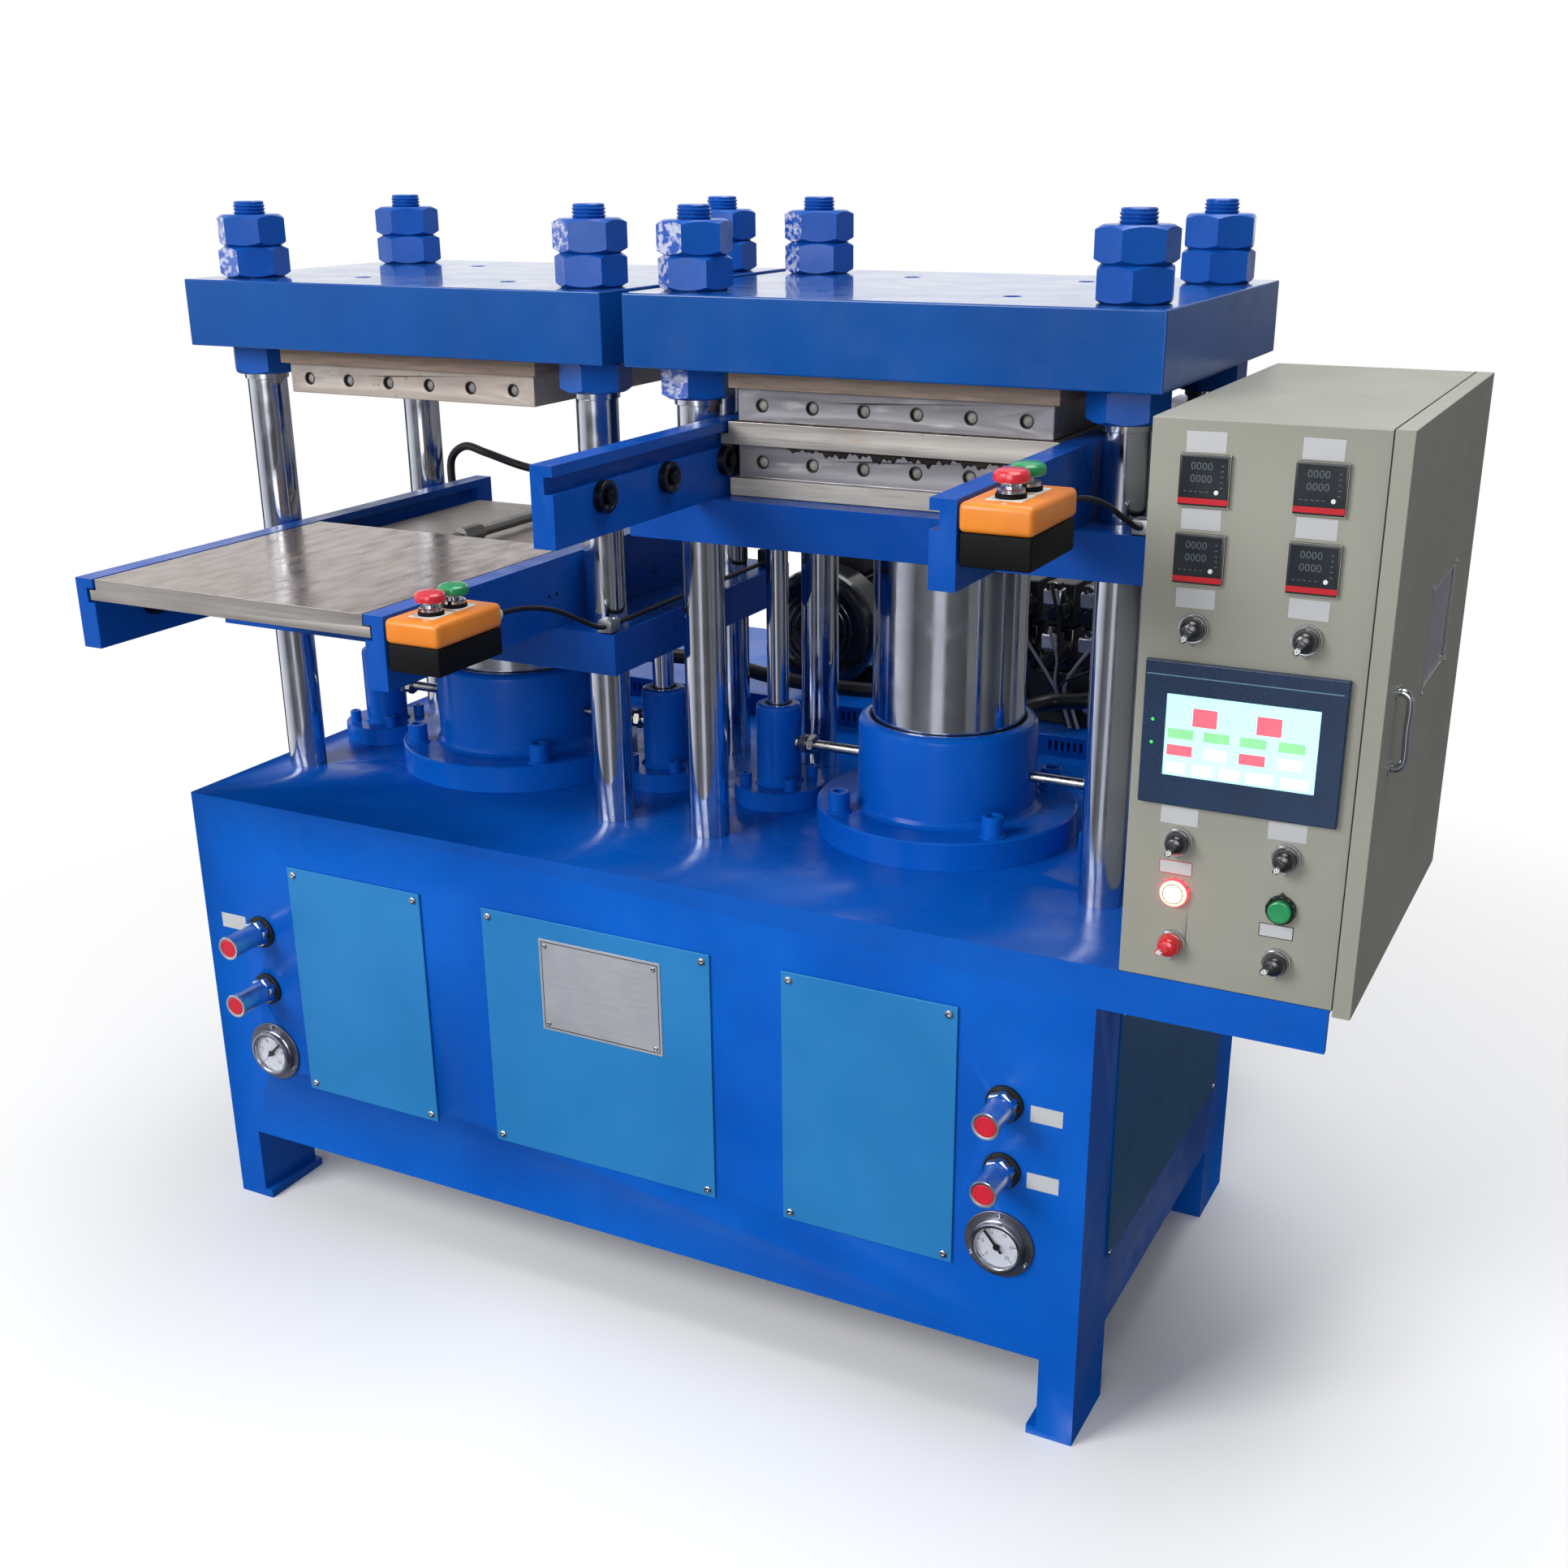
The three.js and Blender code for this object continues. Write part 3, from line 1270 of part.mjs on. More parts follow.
function valveStack() {
  const lid = tank.top + fit;
  const baseTop = lid + valves.baseHeight;
  const pitch = (valves.right - valves.left) / valves.count;
  const middleY = (valves.front + valves.back) / 2;
  const pieces = [block(valves.left, valves.right, valves.front, valves.back, lid, baseTop)];
  for (let index = 0; index < valves.count; index += 1) {
    const x = valves.left + (index + 1 / 2) * pitch;
    const half = valves.bodyWidth / 2;
    const top = baseTop + valves.levelCount * valves.levelHeight;
    const bodyFront = valves.front + valves.bodyInset;
    pieces.push(block(x - half, x + half, bodyFront, valves.back - valves.bodyInset, baseTop - fit, top));
    for (let level = 0; level < valves.levelCount; level += 1) {
      const z = baseTop + (level + valves.coilShare) * valves.levelHeight;
      const coilFront = bodyFront - valves.coilLength;
      const coilBack = valves.back - valves.bodyInset + valves.coilLength;
      pieces.push(barY(valves.coil / 2, x, z, coilFront, coilBack, smallSides));
      for (const y of [coilFront, coilBack - valves.plug]) {
        const plugHalf = valves.plug / 2;
        const plugTop = z + valves.coil / 2 + valves.plugHeight;
        pieces.push(block(x - plugHalf, x + plugHalf, y, y + valves.plug, z, plugTop));
      }
    }
  }
  return join(...pieces);
}

// Pressure hoses from the valve block to the fitting at the back of each main cylinder
const pressureHose = { radius: 11, steps: 20 };
const portY = stationCentreY + mainCylinder.barrel / 2 + mainCylinder.portLength + fit;
const portZ = bedHeight + mainCylinder.portHeight;
const hoseRoutes = [
  [
    [leftStation.centre, portY, portZ],
    [leftStation.centre, portY + 55, portZ],
    [leftStation.centre + 34, portY + 120, portZ - 3],
    [leftStation.centre + 122, portY + 165, portZ - 13],
    [valves.left - 320, valves.front - 60, portZ - 23],
    [valves.left - 180, valves.front - 60, portZ - 23],
    [valves.left - 80, valves.front - 40, portZ - 19],
    [valves.left - 30, valves.front + 5, portZ - 15],
    [valves.left + 10, valves.front + 30, portZ - 13],
  ],
  [
    [rightStation.centre, portY, portZ],
    [rightStation.centre, portY + 50, portZ + 1],
    [rightStation.centre + 33, portY + 110, portZ + 7],
    [valves.right + 10, valves.front - 90, portZ + 17],
    [valves.right + 60, valves.front - 35, portZ + 50],
    [valves.right + 72, valves.front + 12, portZ + 105],
    [valves.right + 50, valves.front + 45, portZ + 155],
    [valves.right + 6, valves.front + 56, portZ + 171],
    [valves.right - 27, valves.front + 52, portZ + 145],
    [valves.right - 27, valves.front + 50, portZ + 105],
  ],
];

const hoses = hoseRoutes.map((route) => hose(route, pressureHose.radius, pressureHose.steps));
addPiece("oil_tank", oilTank(), "blue");
addPiece("hydraulic_power_unit", join(electricMotor(), pumpWithPipes(), valveStack(), ...hoses), "black");

// Shift the whole press so that its origin is the centre of its footprint, on the floor
const doorEdge = door.right - fit + door.handleReach;
const boxEdge = stationSetback - railOverhang;
press.position.set(-doorEdge / 2, -(boxEdge + tank.back) / 2, 0);

export default press;
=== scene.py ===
"""A twin-station rubber vulcanizing press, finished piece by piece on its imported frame."""

import math

import bmesh
import bpy
from mathutils import Matrix, Vector


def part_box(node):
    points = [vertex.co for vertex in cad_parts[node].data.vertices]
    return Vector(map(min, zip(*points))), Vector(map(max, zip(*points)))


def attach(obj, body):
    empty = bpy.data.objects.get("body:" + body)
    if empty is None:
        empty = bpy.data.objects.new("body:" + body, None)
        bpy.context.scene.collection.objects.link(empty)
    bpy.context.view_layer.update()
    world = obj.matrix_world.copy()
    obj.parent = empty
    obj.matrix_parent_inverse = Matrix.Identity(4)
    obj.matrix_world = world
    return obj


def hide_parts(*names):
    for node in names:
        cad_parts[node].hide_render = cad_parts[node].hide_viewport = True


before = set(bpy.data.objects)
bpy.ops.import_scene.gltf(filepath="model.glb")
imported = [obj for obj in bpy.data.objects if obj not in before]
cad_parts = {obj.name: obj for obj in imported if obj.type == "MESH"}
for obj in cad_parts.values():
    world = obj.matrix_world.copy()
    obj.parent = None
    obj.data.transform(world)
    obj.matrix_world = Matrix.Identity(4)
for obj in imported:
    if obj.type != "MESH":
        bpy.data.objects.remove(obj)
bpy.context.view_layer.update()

# Studio: a pale floor under an even white surround, three large soft lamps, and the camera
# where the photograph was taken from, to the right of the press and a little above its crowns.
photo_size = 1932
camera_place = Vector((1.0050, -2.0813, 1.4063))
camera_yaw = math.radians(27.439)
camera_pitch = math.radians(21.143)
camera_roll = math.radians(-0.478)
camera_focal_px = 2256.6
photo_centre_px = (975.2, 1053.5)
white = (1, 1, 1, 1)
surround_light = 0.3
dimmer_overhead = (0.3, 0.75, 1.0, 0.4)
dimmer_rightwards = (0.02, 0.2, 1.0, 0.25)
floor_half_width = 14
floor_pale, floor_bounce = 0.92, 0.37
floor_strips = (
    (-180, 0.85), (-172, 1.0), (-140, 0.6), (-118, 0.11), (-92, 0.2), (-86, 0.62), (-76, 0.62),
    (-70, 0.14), (-44, 0.075), (-30, 0.19), (-18, 0.09), (-6, 0.22), (8, 0.055), (30, 0.055),
    (40, 0.45), (50, 0.06), (150, 0.05), (168, 0.1),
)

camera_data = bpy.data.cameras.new("photo_camera")
camera_data.sensor_width = 36
camera_data.lens = camera_focal_px / photo_size * camera_data.sensor_width
camera_data.shift_x = (photo_size / 2 - photo_centre_px[0]) / photo_size
camera_data.shift_y = (photo_centre_px[1] - photo_size / 2) / photo_size
camera_data.clip_end = 60
camera = bpy.data.objects.new("photo_camera", camera_data)
bpy.context.scene.collection.objects.link(camera)
camera.matrix_world = (
    Matrix.Translation(camera_place)
    @ Matrix.Rotation(camera_yaw, 4, "Z")
    @ Matrix.Rotation(math.pi / 2 - camera_pitch, 4, "X")
    @ Matrix.Rotation(camera_roll, 4, "Z")
)
bpy.context.scene.camera = camera
bpy.context.scene.view_settings.view_transform = "Standard"


def wired(tree, kind, entries=(), **settings):
    """A shader node with its settings made and its entries set or joined to other nodes."""
    made = tree.nodes.new("ShaderNode" + kind)
    for setting, choice in settings.items():
        setattr(made, setting, choice)
    for entry, value in dict(entries).items():
        if isinstance(value, bpy.types.NodeSocket):
            tree.links.new(value, made.inputs[entry])
        else:
            made.inputs[entry].default_value = value
    return made


def worked_out(tree, operation, first, second):
    """The result of one sum on two values, as a node's output."""
    return wired(tree, "Math", {0: first, 1: second}, operation=operation).outputs[0]


def spread(tree, value, start, end, low=0, high=1):
    """The part of a value between start and end, spread from low to high."""
    limits = {"From Min": start, "From Max": end, "To Min": low, "To Max": high}
    return wired(tree, "MapRange", {"Value": value, **limits}).outputs["Result"]


def layered(tree, under, layers):
    """Shaders laid over one another, each by its share."""
    for share, over in layers:
        under = wired(tree, "MixShader", {0: share, 1: under.outputs[0], 2: over.outputs[0]})
    return under.outputs[0]


def white_surround():
    """The world: white where it is seen, plain where it lights, and where polish mirrors it dimmer
    overhead and towards the right, as a room would be."""
    world = bpy.data.worlds.new("white_surround")
    world.use_nodes = True
    tree = world.node_tree
    tree.nodes.clear()
    way = wired(tree, "SeparateXYZ", {0: wired(tree, "TexCoord").outputs["Generated"]}).outputs
    overhead = spread(tree, way["Z"], *dimmer_overhead)
    rightwards = spread(tree, way["X"], *dimmer_rightwards)
    dimmed = worked_out(tree, "MULTIPLY", overhead, rightwards)
    seen = wired(tree, "Background", {"Color": white})
    mirrored = wired(tree, "Background", {"Color": (0.97, 0.98, 1, 1), "Strength": dimmed})
    light = wired(tree, "Background", {"Color": (0.93, 0.96, 1, 1), "Strength": surround_light})
    path = wired(tree, "LightPath").outputs
    bounced = worked_out(tree, "MAXIMUM", path["Is Glossy Ray"], path["Is Transmission Ray"])
    mixed = layered(tree, light, ((bounced, mirrored), (path["Is Camera Ray"], seen)))
    wired(tree, "OutputWorld", {"Surface": mixed})
    bpy.context.scene.world = world


def studio_floor():
    """A pale floor that takes the press's shadow and passes into plain white round it; in polished
    metal it shows as pale and dark strips that run out from the press, like flags in a studio."""
    plate = bmesh.new()
    bmesh.ops.create_grid(plate, x_segments=1, y_segments=1, size=floor_half_width)
    mesh = bpy.data.meshes.new("studio_floor")
    plate.to_mesh(mesh)
    plate.free()
    floor = bpy.data.objects.new("studio_floor", mesh)
    bpy.context.scene.collection.objects.link(floor)
    material = bpy.data.materials.new("studio_floor")
    material.use_nodes = True
    tree = material.node_tree
    shader = tree.nodes["Principled BSDF"]
    shader.inputs["Roughness"].default_value = 0.9
    place = wired(tree, "TexCoord").outputs["Object"]
    reach = wired(tree, "VectorMath", {0: place}, operation="LENGTH").outputs["Value"]
    bearing = wired(tree, "VectorMath", {0: place}, operation="NORMALIZE").outputs["Vector"]
    parts = wired(tree, "SeparateXYZ", {0: bearing}).outputs
    turned = worked_out(tree, "DIVIDE", worked_out(tree, "ARCTAN2", parts["Y"], parts["X"]), math.tau)
    strips = wired(tree, "ValToRGB", {"Fac": worked_out(tree, "ADD", turned, 0.5)})
    stops = strips.color_ramp.elements
    for number, (degrees, level) in enumerate(floor_strips):
        stop = stops[number] if number < 2 else stops.new(0.5)
        stop.position = degrees / 360 + 0.5
        stop.color = (level, level, 1.08 * level, 1)
    path = wired(tree, "LightPath").outputs
    level = spread(tree, path["Is Diffuse Ray"], 0, 1, floor_pale, floor_bounce)
    pale = wired(tree, "CombineColor", {0: level, 1: level, 2: level})
    tree.links.new(pale.outputs[0], shader.inputs["Base Color"])
    seen = worked_out(tree, "MAXIMUM", path["Is Camera Ray"], path["Is Transmission Ray"])
    seen = worked_out(tree, "MAXIMUM", seen, path["Is Glossy Ray"])
    blank = wired(tree, "Emission", {"Color": white})
    # Near the press the mirrored strips are dimmed to a quarter: a painted shadow of the press on the floor,
    # as polished metal sees it.
    near = spread(tree, reach, 0.9, 1.6, 0.25, 1)
    mirrored = wired(tree, "Emission", {"Color": strips.outputs["Color"], "Strength": near})
    far = worked_out(tree, "MULTIPLY", seen, spread(tree, reach, 0.7, 2.1))
    shiny = worked_out(tree, "MULTIPLY", path["Is Glossy Ray"], spread(tree, reach, 0.3, 0.6))
    mixed = layered(tree, shader, ((far, blank), (shiny, mirrored)))
    tree.links.new(mixed, tree.nodes["Material Output"].inputs["Surface"])
    mesh.materials.append(material)


def soft_lamp(name, place, aim, size, watts):
    """A large soft lamp that looks at a point."""
    data = bpy.data.lights.new(name, "AREA")
    data.shape = "RECTANGLE"
    data.size, data.size_y = size
    data.energy = watts
    lamp = bpy.data.objects.new(name, data)
    lamp.location = place
    lamp.rotation_euler = (Vector(aim) - Vector(place)).to_track_quat("-Z", "Y").to_euler()
    bpy.context.scene.collection.objects.link(lamp)


white_surround()
studio_floor()
soft_lamp("key_lamp", (-2.2, -4.0, 3.2), (0.1, 0.0, 0.7), (2.4, 2.2), 195)
soft_lamp("fill_lamp", (0.9, -4.3, 1.6), (0.3, 0.0, 0.6), (1.8, 1.6), 44)
soft_lamp("top_lamp", (0.6, 0.2, 4.1), (0.2, 0.0, 0.6), (3.0, 2.0), 104)


# Base: a welded box of thick steel plate, bed plate on top and four legs with foot plates,
# ground flush at the welds and sprayed with blue gloss enamel.
mm = 0.001
even = (1, 1, 1)


def shade(red, green, blue):
    """A colour given as a screen shows it, as the levels a shader works in."""
    def level(value):
        """One of its three parts, from the screen's steps to even ones."""
        value /= 255
        return value / 12.92 if value <= 0.04045 else ((value + 0.055) / 1.055) ** 2.4
    return (level(red), level(green), level(blue), 1)


def bare_finish(name, levels):
    """A new material with some of its shader's levels set."""
    material = bpy.data.materials.new(name)
    material.use_nodes = True
    shader = material.node_tree.nodes["Principled BSDF"]
    for entry, level in levels.items():
        shader.inputs[entry].default_value = level
    return material, material.node_tree, shader


def cloud(tree, per_metre, detail=4, stretch=even):
    """Soft noise fixed to the piece, at so many patches a metre."""
    place = wired(tree, "TexCoord").outputs["Object"]
    stretched = wired(tree, "Mapping", {"Vector": place, "Scale": stretch}).outputs["Vector"]
    return wired(tree, "TexNoise", {"Vector": stretched, "Scale": per_metre, "Detail": detail}).outputs["Fac"]


def patches(tree, noise, start, end, low=0, high=1):
    """The part of a noise between start and end, spread from low to high."""
    return spread(tree, cloud(tree, *noise), start, end, low, high)


def mingle(tree, share, first, second):
    """One colour passing into another by a pattern's share, in a mix node's colour entries 6 and 7."""
    return wired(tree, "Mix", {0: share, 6: first, 7: second}, data_type="RGBA").outputs[2]


def worked_finish(name, levels, shades, tone, smears, skin, marks=()):
    """A finish: two shades in clouds, marks over them, smears that dull it, and a raised skin.

    A noise is (patches a metre, detail, stretch); the part of it that counts and what it is spread
    to follow, and a mark's colour comes first. The skin is a noise and its height in millimetres."""
    material, tree, shader = bare_finish(name, levels)
    colour = mingle(tree, patches(tree, *tone), shade(*shades[0]), shade(*shades[1]))
    for mark, *pattern in marks:
        colour = mingle(tree, patches(tree, *pattern), colour, shade(*mark))
    bump = wired(tree, "Bump", {"Height": cloud(tree, *skin[0]), "Distance": skin[1] * mm})
    tree.links.new(colour, shader.inputs["Base Color"])
    tree.links.new(patches(tree, *smears), shader.inputs["Roughness"])
    tree.links.new(bump.outputs["Normal"], shader.inputs["Normal"])
    return material


def enamel(name, main, second, roughness=0.3, coat=0.0, peel=0.05, gloss=0.25):
    """Sprayed enamel: close shades in soft clouds, a fine orange peel, and a shine that comes and goes."""
    levels = {"Specular IOR Level": gloss, "Coat Weight": coat, "Coat Roughness": 0.06}
    smears = ((18, 5), 0.35, 0.7, roughness - 0.06, roughness + 0.12)
    return worked_finish(name, levels, (main, second), ((5, 3), 0.35, 0.65), smears, ((420, 2), peel))


def solid_of(node, whole_faces=True):
    """A CAD node's solid in millimetres, its corners joined and, if wanted, its flat faces made whole."""
    shape = bmesh.new()
    shape.from_mesh(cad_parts[node].data)
    bmesh.ops.scale(shape, vec=(1 / mm, 1 / mm, 1 / mm), verts=shape.verts)
    bmesh.ops.remove_doubles(shape, verts=shape.verts, dist=0.02)
    if whole_faces:
        bmesh.ops.dissolve_limit(shape, angle_limit=math.radians(1), verts=shape.verts, edges=shape.edges)
    for face in shape.faces:
        face.material_index = 0
    return shape


def rounded(part, edges, width, segments):
    """Bevel some edges of a part by a width."""
    bmesh.ops.bevel(
        part, geom=edges, offset=width, offset_type="OFFSET", affect="EDGES",
        segments=segments, profile=0.5, material=-1, clamp_overlap=True,
    )


def ease_edges(shape, width, segments=2, picked=lambda edge: True):
    """Round the sharp outer edges of a solid by a small width."""
    sharp = [
        edge for edge in shape.edges
        if len(edge.link_faces) == 2 and edge.calc_face_angle() > math.radians(35)
        and edge.calc_length() > 1.5 * width and picked(edge)
    ]
    rounded(shape, sharp, width, segments)


def finished(name, shape, body, finishes, stands_for=(), smooth=20):
    """Turn a shape in millimetres into a piece of the press, with its finishes and its body."""
    bmesh.ops.scale(shape, vec=(mm, mm, mm), verts=shape.verts)
    mesh = bpy.data.meshes.new(name)
    shape.to_mesh(mesh)
    shape.free()
    for material in finishes:
        mesh.materials.append(material)
    mesh.shade_smooth()
    mesh.set_sharp_from_angle(angle=math.radians(smooth))
    piece = bpy.data.objects.new(name, mesh)
    bpy.context.scene.collection.objects.link(piece)
    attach(piece, body)
    if stands_for:
        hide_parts(*stands_for)


press_blue = enamel("press_blue", (6, 94, 196), (4, 82, 180), roughness=0.24, gloss=0.16)
base = solid_of("base_frame")
ease_edges(base, 2)
finished("welded_base", base, "frame", [press_blue], ["base_frame"])

# Covers: three sheets of lighter blue over the openings of the front wall and one over the right
# end of the base, held by a domed screw near every corner; the middle one has a bare nameplate.
forwards = (0, -1, 0)
rightwards = (1, 0, 0)
cover_screw = {"radius": 5, "height": 2.6, "inset": 10}
side_sheet = {"x": 1260, "thick": 2.4, "start": (-305.5, 199.5), "end": (156, 518.5), "inset": 6}
nameplate = {"start": (-216, 384), "end": (-43, 507), "thick": 1.0, "border": 4, "line": 1.6, "inset": 9}


def spun(profile, steps=48):
    """A round form: a profile of (radius, height) points spun about the upright axis."""
    part = bmesh.new()
    points = [part.verts.new((radius, 0, height)) for radius, height in profile]
    lines = [part.edges.new(pair) for pair in zip(points, points[1:])]
    bmesh.ops.spin(
        part, geom=points + lines, cent=(0, 0, 0), axis=(0, 0, 1),
        angle=math.tau, steps=steps, use_merge=True,
    )
    bmesh.ops.remove_doubles(part, verts=part.verts, dist=0.001)
    bmesh.ops.recalc_face_normals(part, faces=part.faces)
    return part


def join_in(shape, part, place=(0, 0, 0), facing=(0, 0, 1), finish=0):
    """Turn a part from upright to the way it faces, set it in its place and join it to a shape."""
    turned = Vector((0, 0, 1)).rotation_difference(Vector(facing)).to_matrix()
    bmesh.ops.rotate(part, cent=(0, 0, 0), matrix=turned, verts=part.verts)
    bmesh.ops.translate(part, vec=Vector(place), verts=part.verts)
    for face in part.faces:
        face.material_index = finish
    carried = bpy.data.meshes.new("part")
    part.to_mesh(carried)
    part.free()
    shape.from_mesh(carried)
    bpy.data.meshes.remove(carried)


def turn(shape, profile, place=(0, 0, 0), facing=(0, 0, 1), finish=0, steps=48):
    """Spin a profile and set the round form in a shape."""
    join_in(shape, spun(profile, steps), place, facing, finish)


def domed_screw(shape, place, facing, radius, height, finish=0):
    """A low domed head with a round socket sunk in it."""
    turn(shape, [
        (0, 0), (radius, 0), (radius, 0.25 * height), (0.93 * radius, 0.6 * height),
        (0.75 * radius, 0.88 * height), (0.5 * radius, height), (0.4 * radius, height),
        (0.4 * radius, 0.45 * height), (0, 0.45 * height),
    ], place, facing, finish, steps=20)


def corner_screws(shape, start, end, inset, level, facing, radius, height, finish):
    """A domed screw near each corner of a plate that faces forwards or to the right."""
    for across in (start[0] + inset, end[0] - inset):
        for upwards in (start[1] + inset, end[1] - inset):
            place = (across, level, upwards) if facing == forwards else (level, across, upwards)
            domed_screw(shape, place, facing, radius, height, finish)


def bar(low, high, edge=0.8, segments=2):
    """A box between two corners with eased edges."""
    part = bmesh.new()
    bmesh.ops.create_cube(part, size=1)
    bmesh.ops.scale(part, vec=Vector(high) - Vector(low), verts=part.verts)
    bmesh.ops.translate(part, vec=(Vector(high) + Vector(low)) / 2, verts=part.verts)
    if edge:
        rounded(part, part.edges, edge, segments)
    return part


def block(shape, low, high, finish=0, edge=0.8, segments=2):
    """Set a box with eased edges in a shape."""
    join_in(shape, bar(low, high, edge, segments), finish=finish)


def metal(name, main, second, roughness=0.3, grain=even, per_metre=60, lines=0.01, metallic=1.0, spots=0.0):
    """Worked metal: two shades in clouds, tool lines drawn out one way, and duller smears."""
    worked = (per_metre, 5, grain)
    smears = (worked, 0.3, 0.7, max(roughness - 0.08, 0.02), roughness + 0.12)
    dark = [0.45 * value for value in second]
    marks = [(dark, (55, 6), 0.6, 0.72, 0, spots)] if spots else []
    tone = ((14, 5), 0.35, 0.65)
    return worked_finish(name, {"Metallic": metallic}, (main, second), tone, smears, (worked, lines), marks)


cover_paint = enamel("cover_blue", (40, 124, 187), (34, 116, 178), roughness=0.34)
# The right-end sheet takes a darker copy of the covers' blue: painted shade, as that side faces away from the
# light.
shaded_side_paint = enamel("shaded_side_blue", (30, 92, 138), (24, 82, 126), roughness=0.2, gloss=0.25, peel=0.04)
screw_steel = metal("screw_steel", (205, 208, 212), (170, 174, 180), roughness=0.22)
plate_silver = metal(
    "plate_silver", (178, 181, 188), (164, 168, 176), roughness=0.4, grain=(0.1, 1, 1), per_metre=300,
    metallic=0.3,
)
print_black = enamel("print_black", (26, 27, 30), (34, 35, 38), roughness=0.45)

for place in ("left", "centre", "right"):
    cover_name = f"{place}_front_cover"
    cover = solid_of(cover_name)
    ease_edges(cover, 0.9)
    low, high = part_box(cover_name)
    corner_screws(
        cover, (low.x / mm, low.z / mm), (high.x / mm, high.z / mm), cover_screw["inset"], low.y / mm,
        forwards, cover_screw["radius"], cover_screw["height"], finish=1,
    )
    finishes = [cover_paint, screw_steel]
    finished(cover_name + "_sheet", cover, "frame", finishes, [cover_name])

sheet_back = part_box("base_frame")[0].x / mm + side_sheet["x"]
sheet_face = sheet_back + side_sheet["thick"]
start, end = side_sheet["start"], side_sheet["end"]
cover = bar((sheet_back + 0.1, *start), (sheet_face, *end), edge=0.5)
corner_screws(cover, start, end, side_sheet["inset"], sheet_face, rightwards, 3.6, 2, finish=1)
finished("right_side_cover_sheet", cover, "frame", [shaded_side_paint, screw_steel])

cover_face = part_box("centre_front_cover")[0].y / mm
plate_face = cover_face - nameplate["thick"]
start, end = nameplate["start"], nameplate["end"]
plate = bar((start[0], plate_face, start[1]), (end[0], cover_face, end[1]), edge=0.3, segments=1)
front = [min(plate.faces, key=lambda face: face.calc_center_median().y)]
bmesh.ops.inset_region(plate, faces=front, thickness=nameplate["border"])
for face in bmesh.ops.inset_region(plate, faces=front, thickness=nameplate["line"])["faces"]:
    face.material_index = 1
corner_screws(plate, start, end, nameplate["inset"], plate_face, forwards, 3.2, 1.8, finish=2)
finished("bare_nameplate", plate, "frame", [plate_silver, print_black, screw_steel])

# Regulators: four turned pressure knobs on the front wall, each on a hexagon locknut of chrome
# over a black washer, with a light rim and a red disc pressed into its end. Three have a bare
# paper label beside them.
sides = ("left", "right")
front_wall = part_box("left_front_cover")[1].y / mm + 0.3
washer = {"radius": 22, "thick": 4.2}
locknut = {"flat": 16.4, "end": 15.2, "bore": 9}
knob_draw = {"left": 12, "right": 7}
knob_rim = 16.2
knob_disc = 12.4
chamfer_slope = 0.577
regulator_labels = (((-742, 421), (-700, 442)), ((423, 411), (460, 431)), ((422, 327), (459, 347)))


def tilted(part, angle, axis="Y"):
    """Turn a part about an axis through its origin."""
    bmesh.ops.rotate(part, cent=(0, 0, 0), matrix=Matrix.Rotation(angle, 3, axis), verts=part.verts)
    return part


def hexagon_ring(part, flat):
    """Push the corners of a turned ring out to a hexagon, and tell how far out each one went."""
    pushed = []
    for corner in part.verts:
        if abs(math.hypot(corner.co.x, corner.co.y) - flat) < 0.01:
            bearing = math.atan2(corner.co.y, corner.co.x) % math.radians(60)
            reach = flat / math.cos(bearing - math.radians(30))
            corner.co.x *= reach / flat
            corner.co.y *= reach / flat
            pushed.append((corner, reach))
    return pushed


def nut(shape, flat, height, bore, place, facing=(0, 0, 1), finish=0, turned_by=0):
    """A hexagon nut, its corners chamfered to a round face at both ends."""
    brim = 0.94 * flat
    part = spun([
        (bore, 0), (brim, 0), (flat, 1), (flat, height - 1), (brim, height),
        (bore + 1, height), (bore, height - 1), (bore, 0),
    ])
    for corner, reach in hexagon_ring(part, flat):
        drop = (reach - brim) * chamfer_slope
        corner.co.z = drop if corner.co.z < height / 2 else height - drop
    join_in(shape, tilted(part, turned_by, "Z"), place, facing, finish)


chrome = metal("chrome", (214, 218, 224), (196, 201, 210), roughness=0.1, per_metre=30, lines=0.004)
satin_chrome = metal("satin_chrome", (222, 226, 232), (206, 211, 219), roughness=0.3, lines=0.004)
rubber_black = enamel("rubber_black", (24, 25, 28), (33, 34, 37), roughness=0.55, peel=0.1)
disc_red = enamel("disc_red", (208, 24, 50), (192, 18, 42), roughness=0.3, gloss=0.5)
paper_pale = enamel("paper_pale", (190, 192, 194), (180, 182, 186), roughness=0.7)

labels = bmesh.new()
for start, end in regulator_labels:
    block(labels, (start[0], front_wall - 0.15, start[1]), (end[0], front_wall + 0.1, end[1]), edge=0)
finished("bare_regulator_labels", labels, "frame", [paper_pale])

